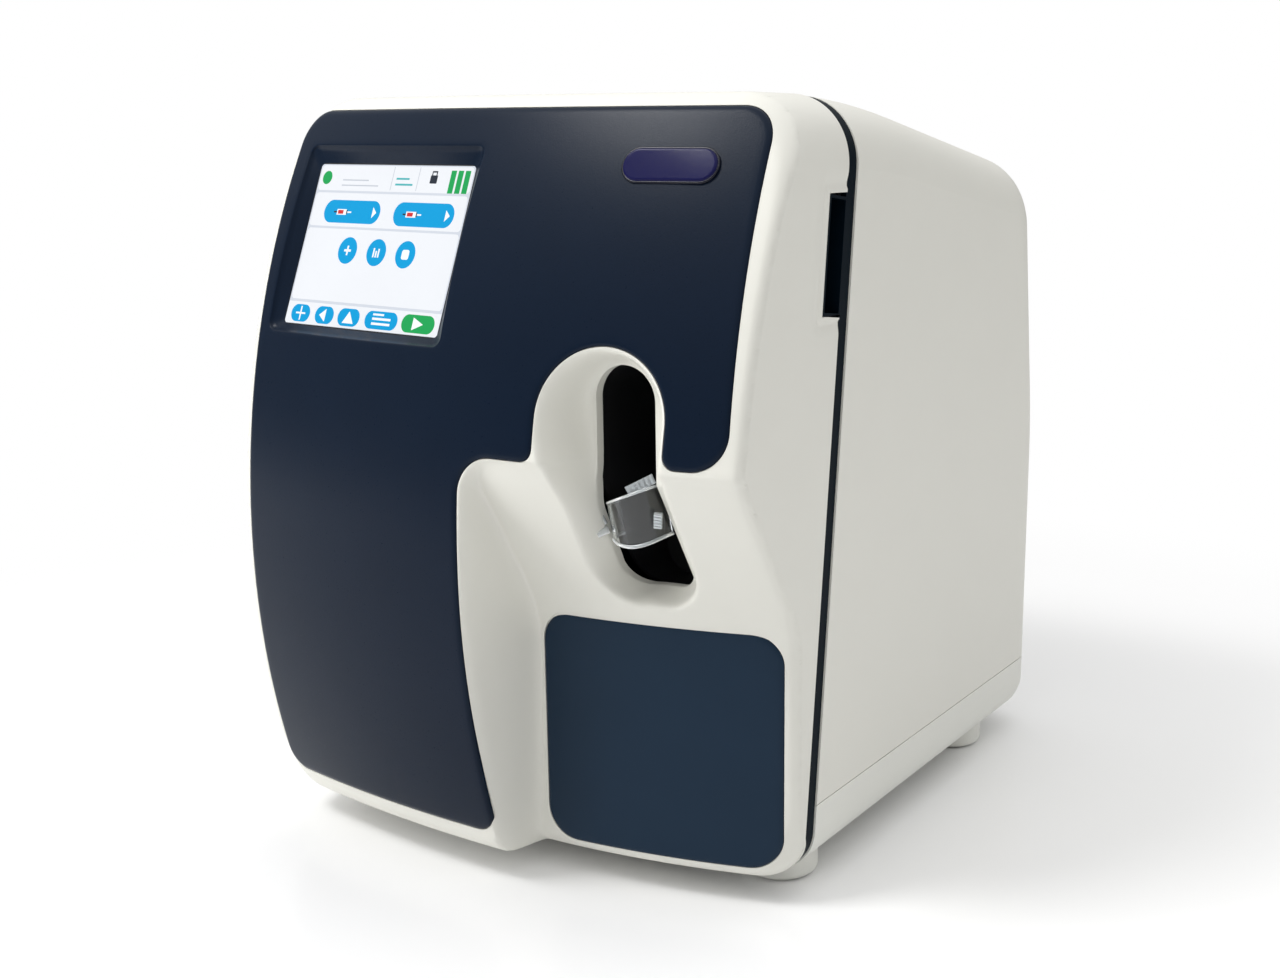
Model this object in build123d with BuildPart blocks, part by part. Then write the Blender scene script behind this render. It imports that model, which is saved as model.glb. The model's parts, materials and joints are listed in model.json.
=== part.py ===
from build123d import *
import os
from math import asin, cos, radians, sin, sqrt, tan

# Benchtop blood gas analyzer, in millimetres.
# X runs to the right of someone facing it, Y runs to the rear, Z runs up.
# The origin is on the bench, under the middle of the case.

# ---------------------------------------------------------------- case
case_width = 305.0
case_height = 388.0
case_front = -193.0          # foremost point of the door
case_rear = 193.9            # rearmost point of the cover
case_underside = 12.5        # underside of the door and of the base tray
skin = 3.2                   # wall of the moulded covers
top_corner_radius = 34.0
bottom_corner_radius = 22.0

# ---------------------------------------------------------------- door front
bow_radius = 767.0           # the front is bowed in plan
belly_radius = 451.0         # and bellied from top to bottom
belly_height = 157.0         # height of the foremost line
door_edge_radius = 4.0

# ---------------------------------------------------------------- seam
seam_setback = 85.1          # from the foremost point to the seam, at the bench
seam_tilt = 6.58             # the seam leans back by this angle
band_width = 8.5             # the navy band between door and cover
band_inset = 0.9
band_depth = 11.0            # how far the band reaches in from the case side
door_gap = 0.6
cover_gap = 0.4

# ---------------------------------------------------------------- undercut, lower right of the door
undercut_depth = 45.3        # from the foremost line to the upright face under the belly
undercut_bow_radius = 450.0
undercut_face_top = 140.0    # the upright face ends here and the slope begins
undercut_top = 222.0         # the slope meets the belly here
undercut_side = case_width / 2 - 142.5         # left wall of the undercut, at the belly
undercut_side_draft = 7.0
undercut_shoulder_radius = 18.0

# ---------------------------------------------------------------- sampling arch, dish and slot
arch_middle = case_width / 2 - 70.5
arch_height = 243.5
arch_radius = 31.5
arch_floor_depth = 35.0      # the arch's floor lies this far behind the foremost line
arch_floor_radius = 20.0
dish_radius = 22.0
dish_widening = 9.5          # the dish reaches this much farther to the right than to the left
dish_bottom = 150.0
dish_turn = 213.0            # below this height the floor runs back
dish_lean = 31.0
slot_width = 33.0
slot_top = 267.0
slot_bottom = 157.0
slot_foot_left = 14.0
slot_foot_right = 6.0

# ---------------------------------------------------------------- navy panels
panel_proud = 0.9
panel_thickness = 2.4
panel_fit = 0.15
panel_left = 6.0 - case_width / 2
panel_right_top = case_width / 2 - 12.0
panel_right_bottom = case_width / 2 - 6.5
panel_top = case_height - 6.5
panel_bottom = 28.0
panel_foot_right = undercut_side
panel_lobe_bottom = 225.5
panel_lobe_left = arch_middle + 34.0
panel_shoulder_height = 223.0
panel_corner_radius = 17.0
panel_foot_radius = 12.0
panel_lobe_radius = 17.0
panel_notch_radius = 6.0
lower_panel_left = undercut_side + 12.5
lower_panel_right = panel_right_bottom
lower_panel_bottom = 20.5
lower_panel_top = 141.0
lower_panel_corner = 17.0
panel_bevel = 0.8

# ---------------------------------------------------------------- badge, left bare
badge_x = case_width / 2 - 55.5
badge_z = case_height - 32.5
badge_length = 47.0
badge_height = 16.0
badge_sink = 1.4
badge_proud = 1.6

# ---------------------------------------------------------------- screen
screen_x = 80.0 - case_width / 2
screen_z = case_height - 70.5
screen_view_width = 115.2
screen_view_height = 86.4
screen_sink = 8.5            # glass below the panel's surface
screen_flare = 0.72          # how much the surround widens for each millimetre of depth
screen_wall = 3.0
glass_border = 2.6
glass_thickness = 1.8
display_thickness = 7.0
board_thickness = 1.6
clamp_thickness = 1.5

# ---------------------------------------------------------------- grip on the door's right side
grip_bottom = case_height - 101.0
grip_top = case_height - 45.0
grip_reach = 17.0            # how far the grip reaches in front of the seam band
grip_depth = 14.0
grip_wall = 1.6

# ---------------------------------------------------------------- base, feet, rear
tray_height = 47.8           # top edge of the base tray
top_fall_start = -43.0       # the cover's top starts to fall here
rear_top_height = case_height - 36.0
rear_top_setback = 22.0      # the rear leans in by this much at its top
rear_lean_start = 200.0
crown_radius = 600.0
rear_top_radius = 45.0
rear_lean_radius = 300.0
foot_radius = 19.0
foot_inset = 31.0
foot_front_y = -83.0
foot_rear_y = 127.0
foot_edge = 3.0
pad_radius = 14.0
pad_height = 2.0
base_gap = 0.5
rear_opening_width = case_width - 95.0
rear_opening_bottom = 62.0
rear_opening_top = 170.0
rear_panel_thickness = 1.5
rear_panel_lap = 8.0
rear_panel_corner = 4.0
screw_head_radius = 3.0
screw_head_height = 2.0
screw_head_round = 1.0
screw_inset = 6.0

# ---------------------------------------------------------------- door hinge, in the band's left side
door_lift = 0.7              # the door's underside clears the feet
hinge_inset = 4.5            # pin behind the case's left side
hinge_shift = -4.5           # pin in front of the seam
hinge_pin_radius = 1.5
hinge_fit = 0.05
hinge_knuckle_radius = 4.0
hinge_knuckle_length = 14.0
hinge_knuckle_gap = 0.3
hinge_low = 70.0             # along the tilted pin line
hinge_high = case_height - 88.0
hinge_leaf_thickness = 2.0
hinge_leaf_reach = 26.0

# ---------------------------------------------------------------- door magnet
magnet_x = case_width / 2 - 7.3
magnet_place = 200.0         # along the seam
magnet_width = 7.0
magnet_length = 24.0
strike_thickness = 1.0

# ---------------------------------------------------------------- inside
pan_depth = 50.0             # the inner pan's floor lies this far behind the seam
pan_thickness = 1.8
pan_clearance = 0.8
liner_thickness = 2.5
liner_window = 231.0         # middle of the liner's window for the probe
liner_window_height = 46.0
liner_window_corner = 6.0
sleeve_wall = 2.0            # the liner's sleeve, which shuts the slot off from the door's inside
sleeve_fit = 1.0

# ---------------------------------------------------------------- sampler
probe_x = arch_middle
probe_tilt = 25.0            # the probe points down towards the user
probe_aim_y = -158.0         # the probe's line passes this depth at this height
probe_aim_z = 203.0
probe_rest = 84.0            # tip at rest, behind the aiming point along the probe
probe_travel = 84.0
probe_radius = 1.3
probe_length = 130.0
rod_radius = 3.0
rod_spacing = 30.0
rod_fit = 0.05
carriage_length = 24.0
lead_screw_radius = 3.0
sampler_block = 8.0
motor_size = 28.0

# ---------------------------------------------------------------- clear guard in the slot
guard_radius = slot_width / 2 - 2.5
guard_wall = 1.5
guard_side = 8.0
guard_back = 16.0
guard_length = 32.0
guard_tab_back = 12.0
guard_tab_width = 4.0
guard_tab_length = 10.0

# ---------------------------------------------------------------- display clamp
clamp_post = 5.0

# ---------------------------------------------------------------- pump
pump_x = case_width / 2 - 34.5
pump_s = 92.0                # height along the tilted bulkhead
pump_outer_radius = 24.0
pump_depth = 22.0
pump_track_radius = 19.0
pump_roller_radius = 4.0
pump_roller_circle = 11.3
pump_shaft_radius = 2.5
pump_roller_pin_radius = 1.2
tube_radius = 1.6
rollers = 3
roller_base = 4.5
roller_length = 10.0
rotor_plate = 3.0
rotor_rim = 1.5
rotor_gap = 1.0
pump_motor_bore = 12.0
tube_turn = 56.0
tube_rise = pump_x - 52.0
tube_foot = 25.0
tube_bend = 8.0

# ---------------------------------------------------------------- sampler frame
sampler_width = 48.0
carriage_spare = 2.0         # left in front of the carriage at full travel
sampler_rear = 222.0
sampler_low = -17.0          # above the probe
sampler_high = 18.0
sampler_plate = 3.0
screw_rise = 11.0            # lead screw above the probe
carriage_width = 40.0
carriage_low = -8.0
carriage_high = 17.0
motor_length = 32.0
motor_seat = 6.0
hub_radius = 4.0
flange_thickness = 3.0
flange_width = 66.0
flange_bottom = 222.0
flange_top = 318.0
pan_opening_width = 56.0
pan_opening_bottom = 228.0
pan_opening_top = 312.0

# ---------------------------------------------------------------- calibrator cartridge and its bay
cartridge_width = case_width - 185.0
cartridge_length = 150.0
cartridge_depth = 42.0
cartridge_corner = 4.0
cartridge_edge = 3.0
cartridge_x = (cartridge_width - case_width) / 2 + 14.5
cartridge_s = cartridge_length / 2 + 28.0
bay_rim = 2.5
bay_base = 2.0
bay_height = 14.0
handle_width = 60.0
handle_height = 14.0
handle_bar = 5.0
handle_bar_depth = 4.0
handle_bar_sink = 3.0

# ---------------------------------------------------------------- sensor card, holder and latch
card_x = cartridge_x + cartridge_width / 2 + 39.0
card_s = 88.0
card_width = 46.0
card_length = 92.0
card_thickness = 6.0
holder_rim = 5.0
holder_base = 3.0
holder_height = 8.0
latch_x = card_x - 25.0
latch_s = card_s + card_length / 2 + 8.0
latch_width = 8.0
latch_length = 40.0
latch_thickness = 4.0
latch_post_radius = 3.0

# ---------------------------------------------------------------- valves
manifold_x = card_x - 3.0
manifold_s = 208.0
manifold_width = 52.0
manifold_length = 24.0
manifold_depth = 20.0
valve_radius = 5.0
valve_length = 16.0

# ---------------------------------------------------------------- power supply
supply_left = 23.5 - case_width / 2
supply_width = 66.0
supply_front = -10.0
supply_length = 160.0
supply_height = 44.0

# ---------------------------------------------------------------- main board, on posts above the tray
board_left = supply_left + supply_width + 8.0
board_right = case_width / 2 - 17.5
board_front = -30.0
board_rear = 165.0
board_height = 60.0
board_post_radius = 4.0
board_post_inset = 8.0
sink_x = 20.0
sink_y = 60.0
sink_size = 36.0
sink_base = 3.0
sink_fin_height = 10.0
sink_fin_pitch = 5.5
sink_fin_width = 2.0
pan_post_spread = case_width - 105.0
vent_x = 40.0
vent_y = 60.0
vent_length = 60.0
vent_width = 5.0
vent_pitch = 14.0
vents = 7

# ---------------------------------------------------------------- rear panel and what it carries
fan_x = case_width / 2 - 97.5
fan_z = 118.0
fan_size = 80.0
fan_depth = 25.0
fan_bore = 38.0
fan_hub = 17.0
fan_shaft = 2.0
fan_spider = 3.0
fan_arm = 5.0
fan_gap = 1.0
blades = 7
blade_thickness = 1.6
blade_pitch = 38.0
blade_root_depth = 2.0
guard_wire = 1.6
inlet_x = 72.5 - case_width / 2
inlet_z = 86.0
inlet_width = 27.0
inlet_height = 20.0
inlet_depth = 24.0
inlet_rim = 1.5
inlet_socket_depth = 16.0
inlet_pin_width = 2.0
inlet_pin_height = 4.0
inlet_pin_spread = 7.0
flange_lap = 3.0
inlet_flange = 2.0
switch_z = 128.0
switch_width = 19.0
switch_height = 27.0
switch_depth = 18.0
rocker_width = 10.0
rocker_height = 17.0
rocker_room = 14.0
rocker_depth = 5.0           # its pin lies this far inside the cover's rear wall
rocker_pin = 1.2
rocker_fit = 0.3
port_x = board_left + 35.0
port_z = 67.0
port_width = 16.0
port_height = 10.0
port_pitch = 20.0
port_wall = 1.5
port_socket_depth = 12.0
ports = 3

# ---------------------------------------------------------------- worked-out places
half_width = case_width / 2
seam_foot = case_front + seam_setback
tilt = radians(seam_tilt)
bow_axis_y = case_front + bow_radius
door_back = -(band_width + door_gap)
undercut_face = case_front + undercut_depth
arch_floor = case_front + arch_floor_depth
far_front = case_front - 30.0
far_rear = case_rear + 30.0
far_side = half_width + 20.0

os.makedirs("parts", exist_ok=True)


def seam_plane(shift):
    """The tilted seam, moved to the rear by shift. Its normal points to the front."""
    return Plane(origin=(0, seam_foot + shift, 0), x_dir=(1, 0, 0), z_dir=(0, -cos(tilt), sin(tilt)))


def seam_y(height, shift=0.0):
    """Depth of the seam, moved to the rear by shift, at a height."""
    return seam_foot + shift + height * tan(tilt)


def belly_y(x, height, inset=0.0):
    """Depth of the bellied and bowed front at a place seen from the front."""
    rise = height - belly_height
    out = case_front + belly_radius - sqrt((belly_radius - inset) ** 2 - rise ** 2)
    return bow_axis_y - sqrt((bow_axis_y - out) ** 2 - x ** 2)


def case_slab(inset, front, back, low=case_underside):
    """The case seen from the front, a rounded rectangle, between two depths."""
    with BuildPart() as slab:
        with BuildSketch(Plane.XZ.offset(-back)):
            with Locations((0, (low + case_height) / 2)):
                Rectangle(case_width - 2 * inset, case_height - low - 2 * inset)
            fillet(vertices().group_by(Axis.Y)[-1], top_corner_radius - inset)
            fillet(vertices().group_by(Axis.Y)[0], bottom_corner_radius - inset)
        extrude(amount=back - front)
    return slab.part


def belly(inset):
    """Everything behind the bellied front, turned about an upright axis far behind it."""
    low = case_underside - 40
    high = case_height + 40
    middle = (low + high) / 2
    with BuildPart() as body:
        with BuildSketch(Plane.YZ):
            with BuildLine():
                ThreePointArc(
                    (belly_y(0, low, inset), low),
                    (belly_y(0, middle, inset), middle),
                    (belly_y(0, high, inset), high),
                )
                Polyline(
                    (belly_y(0, high, inset), high),
                    (bow_axis_y, high),
                    (bow_axis_y, low),
                    (belly_y(0, low, inset), low),
                )
            make_face()
        revolve(axis=Axis((0, bow_axis_y, 0), (0, 0, 1)))
    return body.part


def undercut_section(height, face, radius, grow):
    """One level section of the space under the belly."""
    draft = undercut_side_draft / undercut_depth
    wall_front = undercut_side - grow - draft * (case_front - far_front)
    wall_back = undercut_side - grow + draft * (face - case_front)
    axis_y = face + radius
    with BuildSketch(Plane.XY.offset(height)) as section:
        with BuildLine():
            ThreePointArc(
                (wall_back, axis_y - sqrt(radius ** 2 - wall_back ** 2)),
                (half_width / 2, axis_y - sqrt(radius ** 2 - (half_width / 2) ** 2)),
                (far_side, axis_y - sqrt(radius ** 2 - far_side ** 2)),
            )
            Polyline(
                (far_side, axis_y - sqrt(radius ** 2 - far_side ** 2)),
                (far_side, far_front),
                (wall_front, far_front),
                (wall_back, axis_y - sqrt(radius ** 2 - wall_back ** 2)),
            )
        make_face()
    return section.sketch


def undercut(grow):
    """The space under the belly, in front of the upright face and the slope above it."""
    face = undercut_face + grow
    slope = (belly_y(0, undercut_top) - undercut_face) / (undercut_top - undercut_face_top)
    loft_top = undercut_top + 12 + grow
    meet = undercut_face + grow + slope * (loft_top - undercut_face_top - grow / 2)
    low = undercut_section(case_underside - 20, face, undercut_bow_radius - grow, grow)
    turn = undercut_section(undercut_face_top + grow / 2, face, undercut_bow_radius - grow, grow)
    top = undercut_section(loft_top, meet, bow_radius - grow, grow)
    with BuildPart() as space:
        loft([low, turn])
        loft([turn, top])
        with BuildSketch(Plane.XZ.offset(-far_rear)):
            with Locations((undercut_side - grow - undercut_side_draft, undercut_top + grow)):
                Rectangle(2 * far_side, case_height, align=(Align.MIN, Align.MAX))
            corner = vertices().group_by(Axis.Y)[-1].sort_by(Axis.X)[0]
            fillet(corner, undercut_shoulder_radius + undercut_side_draft)
        extrude(amount=far_rear - far_front, mode=Mode.INTERSECT)
    return space.part


def arch_outline(radius, foot):
    """Upright arch seen from the front: round on top, square at its foot."""
    with BuildSketch() as outline:
        with Locations((arch_middle, arch_height)):
            Circle(radius)
            Rectangle(2 * radius, arch_height - foot, align=(Align.CENTER, Align.MAX))
    return outline.sketch


def dish_space(grow):
    """The dish below the arch. Its floor runs back as it goes down."""
    floor = arch_floor + grow
    back = floor + (dish_turn - dish_bottom) * tan(radians(dish_lean))
    width = 2 * (dish_radius + grow) + dish_widening
    with BuildPart() as dish:
        with BuildSketch(Plane.YZ.offset(arch_middle - dish_radius - grow)):
            Polygon(
                (far_front, arch_height),
                (floor, arch_height),
                (floor, dish_turn),
                (back, dish_bottom - grow),
                (far_front, dish_bottom - grow),
                align=None,
            )
        extrude(amount=width)
        with BuildSketch(Plane.XZ.offset(-far_rear)):
            with Locations((arch_middle + dish_widening / 2, dish_bottom + dish_radius)):
                SlotOverall(width, 2 * (dish_radius + grow))
                Rectangle(width, case_height, align=(Align.CENTER, Align.MIN))
        extrude(amount=far_rear - far_front, mode=Mode.INTERSECT)
    return dish.part


def sampling_hollow(grow):
    """The arch's flared hollow and, below it, the dish whose floor runs back."""
    floor = arch_floor + grow
    flare = (arch_radius - arch_floor_radius) / (floor - belly_y(arch_middle, arch_height))
    mouth = arch_floor_radius + flare * (floor - far_front)
    with BuildPart() as hollow:
        with BuildSketch(Plane.XZ.offset(-floor)):
            add(arch_outline(arch_floor_radius + grow, dish_turn - 20))
        with BuildSketch(Plane.XZ.offset(-far_front)):
            add(arch_outline(mouth + grow, dish_turn - 20))
        loft()
        add(dish_space(grow))
    return hollow.part


def front_panel_outline(grow):
    """The large navy panel seen from the front."""
    arch = arch_radius + 2.0
    with BuildSketch() as outline:
        with BuildLine():
            Polyline(
                (panel_left, panel_bottom),
                (panel_left, panel_top),
                (panel_right_top, panel_top),
                (panel_right_bottom, panel_lobe_bottom),
                (panel_lobe_left, panel_lobe_bottom),
                (arch_middle + arch, arch_height),
            )
            ThreePointArc(
                (arch_middle + arch, arch_height),
                (arch_middle, arch_height + arch),
                (arch_middle - arch, arch_height),
            )
            Polyline(
                (arch_middle - arch, arch_height),
                (arch_middle - arch, panel_shoulder_height),
                (panel_foot_right - 3.0, panel_shoulder_height),
                (panel_foot_right, panel_bottom),
                (panel_left, panel_bottom),
            )
        make_face()
        corners = vertices()
        fillet(corners.group_by(Axis.Y)[-1], panel_corner_radius)
        fillet(vertices().filter_by_position(Axis.Y, panel_bottom - 1, panel_bottom + 1), panel_foot_radius)
        fillet(vertices().sort_by_distance((panel_right_bottom, panel_lobe_bottom))[0], panel_lobe_radius)
        fillet(vertices().sort_by_distance((panel_lobe_left, panel_lobe_bottom))[0], panel_notch_radius)
        fillet(vertices().sort_by_distance((arch_middle - arch, panel_shoulder_height))[0], panel_notch_radius)
        fillet(
            vertices().sort_by_distance((panel_foot_right - 3.0, panel_shoulder_height))[0],
            undercut_shoulder_radius,
        )
        if grow:
            offset(amount=grow)
    return outline.sketch


def hinge_plane(height):
    """Level across the tilted pin line, at a height along it. Local Y points to the rear."""
    return Plane(
        origin=(
            hinge_inset - half_width,
            seam_foot + hinge_shift + height * sin(tilt),
            height * cos(tilt),
        ),
        x_dir=(1, 0, 0),
        z_dir=(0, sin(tilt), cos(tilt)),
    )


def keep(piece, name):
    """Label a finished piece and write it."""
    piece.label = name
    export_step(piece, f"parts/{name}.step")


# ================================================================ door frame
door_low = case_underside + door_lift
panel_back = panel_thickness - panel_proud
screen_yaw = asin(screen_x / bow_radius)
screen_lean = asin((screen_z - belly_height) / belly_radius)
screen_normal = (sin(screen_yaw) * cos(screen_lean), -cos(screen_yaw) * cos(screen_lean), sin(screen_lean))
screen_surface = Plane(
    origin=(screen_x, belly_y(screen_x, screen_z, -panel_proud), screen_z),
    x_dir=(cos(screen_yaw), sin(screen_yaw), 0),
    z_dir=screen_normal,
)
surround_width = screen_view_width + 2 * screen_flare * screen_sink + 2 * screen_wall
surround_height = screen_view_height + 2 * screen_flare * screen_sink + 2 * screen_wall

lower_panel_middle = ((lower_panel_left + lower_panel_right) / 2, (lower_panel_bottom + lower_panel_top) / 2)
lower_panel_width = lower_panel_right - lower_panel_left
lower_panel_height = lower_panel_top - lower_panel_bottom
badge_yaw = asin(badge_x / bow_radius)
badge_lean = asin((badge_z - belly_height) / belly_radius)
badge_face = Plane(
    origin=(badge_x, belly_y(badge_x, badge_z, -panel_proud), badge_z),
    x_dir=(cos(badge_yaw), sin(badge_yaw), 0),
    z_dir=(sin(badge_yaw) * cos(badge_lean), -cos(badge_yaw) * cos(badge_lean), sin(badge_lean)),
)
grip_middle = (grip_bottom + grip_top) / 2


def undercut_drum(inset):
    """Everything behind the upright face of the undercut."""
    with BuildPart() as drum:
        with BuildSketch(Plane.XY.offset(case_underside - 20)):
            with Locations((0, undercut_face + undercut_bow_radius)):
                Circle(undercut_bow_radius - inset)
        extrude(amount=case_height)
    return drum.part


def upright_prism(outline):
    """An outline drawn as seen from the front, carried through the whole case."""
    with BuildPart() as prism:
        with BuildSketch(Plane.XZ.offset(-far_rear)):
            add(outline)
        extrude(amount=far_rear - far_front)
    return prism.part


def slot_outline(grow):
    """The sampling slot seen from the front: round on top, with rounded corners at its foot."""
    half_slot = slot_width / 2 + grow
    with BuildSketch() as outline:
        with Locations((arch_middle, slot_bottom - grow)):
            Rectangle(
                2 * half_slot,
                slot_top - slot_bottom - slot_width / 2 + grow,
                align=(Align.CENTER, Align.MIN),
            )
        fillet(vertices().sort_by_distance((arch_middle - half_slot, slot_bottom - grow))[0], slot_foot_left + grow)
        fillet(vertices().sort_by_distance((arch_middle + half_slot, slot_bottom - grow))[0], slot_foot_right + grow)
        with Locations((arch_middle, slot_top - slot_width / 2)):
            Circle(half_slot)
    return outline.sketch


with BuildSketch() as lower_pocket_outline:
    with Locations(lower_panel_middle):
        RectangleRounded(
            lower_panel_width + 2 * panel_fit,
            lower_panel_height + 2 * panel_fit,
            lower_panel_corner + panel_fit,
        )

with BuildPart() as lower_pocket:
    add(upright_prism(lower_pocket_outline.sketch))
    add(undercut_drum(panel_back), mode=Mode.SUBTRACT)

def grip_space(inset):
    """The grip's notch in the right side wall, open to the side and the rear, its walls moved in."""
    with BuildPart() as room:
        with BuildSketch(Plane.YZ.offset(half_width - grip_depth + inset)):
            with Locations((seam_y(grip_middle, door_back - grip_reach + inset), grip_middle)):
                Rectangle(
                    2 * grip_reach,
                    grip_top - grip_bottom - 2 * inset,
                    rotation=-seam_tilt,
                    align=(Align.MIN, Align.CENTER),
                )
        extrude(amount=2 * grip_depth)
    return room.part


with BuildPart() as door_inside:
    add(case_slab(skin, far_front, seam_y(case_height), door_low))
    add(belly(skin), mode=Mode.INTERSECT)
    add(undercut(skin), mode=Mode.SUBTRACT)
    add(sampling_hollow(skin), mode=Mode.SUBTRACT)

with BuildPart() as panel_pocket:
    with BuildSketch(Plane.XZ.offset(-bow_axis_y)):
        add(front_panel_outline(panel_fit))
    extrude(amount=bow_axis_y - far_front)
    add(belly(panel_back), mode=Mode.SUBTRACT)

with BuildPart() as door_frame:
    add(case_slab(0, far_front, seam_y(case_height), door_low))
    add(belly(0), mode=Mode.INTERSECT)
    fillet(faces().sort_by(Axis.Y)[0].edges(), door_edge_radius)
    split(bisect_by=seam_plane(door_back), keep=Keep.TOP)
    add(undercut(0), mode=Mode.SUBTRACT)
    add(sampling_hollow(0), mode=Mode.SUBTRACT)
    add(door_inside.part, mode=Mode.SUBTRACT)
    add(panel_pocket.part, mode=Mode.SUBTRACT)
    add(upright_prism(slot_outline(0)), mode=Mode.SUBTRACT)
    add(lower_pocket.part, mode=Mode.SUBTRACT)
    add(grip_space(0), mode=Mode.SUBTRACT)
    with BuildSketch(screen_surface.offset(-screen_sink - 2)):
        Rectangle(surround_width + 2 * panel_fit, surround_height + 2 * panel_fit)
    extrude(amount=2 * screen_sink + 10, mode=Mode.SUBTRACT)
keep(door_frame.part, "door_frame")

# ================================================================ navy panels
with BuildPart() as surround:
    with BuildSketch(screen_surface.offset(-screen_sink)):
        Rectangle(surround_width, surround_height)
    extrude(amount=2 * screen_sink)
    add(belly(-panel_proud), mode=Mode.INTERSECT)

with BuildPart() as front_panel:
    with BuildSketch(Plane.XZ.offset(-bow_axis_y)):
        add(front_panel_outline(0))
    extrude(amount=bow_axis_y - far_front)
    add(belly(-panel_proud), mode=Mode.INTERSECT)
    add(belly(panel_back), mode=Mode.SUBTRACT)
    add(surround.part)
    with BuildSketch(screen_surface.offset(-screen_sink)):
        Rectangle(screen_view_width, screen_view_height)
    with BuildSketch(screen_surface.offset(screen_sink)):
        Rectangle(
            screen_view_width + 4 * screen_flare * screen_sink,
            screen_view_height + 4 * screen_flare * screen_sink,
        )
    loft(mode=Mode.SUBTRACT)
    with BuildSketch(badge_face.offset(-badge_sink)):
        SlotOverall(badge_length + 2 * panel_fit, badge_height + 2 * panel_fit)
    extrude(amount=badge_sink + badge_proud + 2, mode=Mode.SUBTRACT)
keep(front_panel.part, "front_panel")

with BuildPart() as lower_panel:
    with BuildSketch() as lower_outline:
        with Locations(lower_panel_middle):
            RectangleRounded(lower_panel_width, lower_panel_height, lower_panel_corner)
    add(upright_prism(lower_outline.sketch))
    add(undercut_drum(-panel_proud), mode=Mode.INTERSECT)
    add(undercut_drum(panel_back), mode=Mode.SUBTRACT)
    fillet(faces().sort_by(Axis.Y)[0].edges(), panel_bevel)
keep(lower_panel.part, "lower_panel")

with BuildPart() as badge:
    with BuildSketch(badge_face.offset(-badge_sink)):
        SlotOverall(badge_length, badge_height)
    extrude(amount=badge_sink + badge_proud)
    fillet(faces().sort_by(Axis.Y)[0].edges(), badge_proud * 0.8)
keep(badge.part, "badge")

# ================================================================ touchscreen
glass_face = screen_surface.offset(-screen_sink)
glass_width = screen_view_width + 2 * glass_border
glass_height = screen_view_height + 2 * glass_border

with BuildPart() as touch_glass:
    with BuildSketch(glass_face):
        Rectangle(glass_width, glass_height)
    extrude(amount=-glass_thickness)
keep(touch_glass.part, "touch_glass")

with BuildPart() as display_module:
    with BuildSketch(glass_face.offset(-glass_thickness)):
        RectangleRounded(glass_width + 2 * screen_wall, glass_height + 2 * screen_wall, 2)
    extrude(amount=-display_thickness)
keep(display_module.part, "display_module")

board_face = glass_face.offset(-glass_thickness - display_thickness)
with BuildPart() as display_board:
    with BuildSketch(board_face):
        Rectangle(glass_width, glass_height)
    extrude(amount=-board_thickness)
    with BuildSketch(board_face.offset(-board_thickness)):
        with GridLocations(40, 36, 3, 2):
            Rectangle(16, 14)
    extrude(amount=-2.5)
keep(display_board.part, "display_board")

# ================================================================ door liner
hinge_slot = 2 * hinge_knuckle_length + 4.0

with BuildPart() as sleeve:
    add(upright_prism(slot_outline(sleeve_fit + sleeve_wall)))
    split(bisect_by=seam_plane(door_back), keep=Keep.TOP)
    add(sampling_hollow(skin + 2 * panel_fit), mode=Mode.SUBTRACT)

with BuildPart() as sleeve_hollow:
    add(upright_prism(slot_outline(sleeve_fit)))
    split(bisect_by=seam_plane(door_back - liner_thickness), keep=Keep.TOP)

with BuildPart() as door_liner:
    add(case_slab(skin + panel_fit, far_front, seam_y(case_height), door_low))
    split(bisect_by=seam_plane(door_back), keep=Keep.TOP)
    split(bisect_by=seam_plane(door_back - liner_thickness), keep=Keep.BOTTOM)
    add(sleeve.part)
    add(sleeve_hollow.part, mode=Mode.SUBTRACT)
    add(grip_space(0), mode=Mode.SUBTRACT)
    with BuildSketch(seam_plane(door_back)):
        with Locations((probe_x, liner_window)):
            RectangleRounded(slot_width - 2 * sleeve_fit, liner_window_height, liner_window_corner)
        for height in (hinge_low, hinge_high):
            with Locations((-half_width, height)):
                Rectangle(4 * hinge_inset, hinge_slot)
        with Locations((magnet_x, magnet_place)):
            Rectangle(magnet_width + 2 * panel_fit, magnet_length + 2 * panel_fit)
    extrude(amount=2 * liner_thickness, mode=Mode.SUBTRACT)
keep(door_liner.part, "door_liner")

with BuildPart() as magnet:
    with BuildSketch(seam_plane(door_back)):
        with Locations((magnet_x, magnet_place)):
            Rectangle(magnet_width, magnet_length)
    extrude(amount=liner_thickness * cos(tilt))
keep(magnet.part, "door_magnet")

# ================================================================ display clamp
clamp_width = surround_width + 2 * panel_fit + 2 * clamp_post
clamp_height = surround_height + 2 * panel_fit + 2 * clamp_post

with BuildPart() as display_clamp:
    with BuildSketch(board_face):
        RectangleRounded(clamp_width, clamp_height, clamp_post / 2)
        Rectangle(glass_width + 1, glass_height + 1, mode=Mode.SUBTRACT)
    extrude(amount=-clamp_thickness)
    with BuildSketch(board_face):
        with GridLocations(clamp_width - clamp_post, clamp_height - clamp_post, 2, 2):
            Circle(clamp_post / 2)
    extrude(amount=display_thickness + glass_thickness + screen_sink)
    add(belly(skin + panel_fit), mode=Mode.INTERSECT)
keep(display_clamp.part, "display_clamp")

# ================================================================ grip cup
with BuildPart() as grip_cup:
    add(grip_space(panel_fit))
    add(case_slab(0, far_front, far_rear), mode=Mode.INTERSECT)
    split(bisect_by=seam_plane(door_back), keep=Keep.TOP)
    add(grip_space(panel_fit + grip_wall), mode=Mode.SUBTRACT)
keep(grip_cup.part, "grip_cup")

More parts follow.
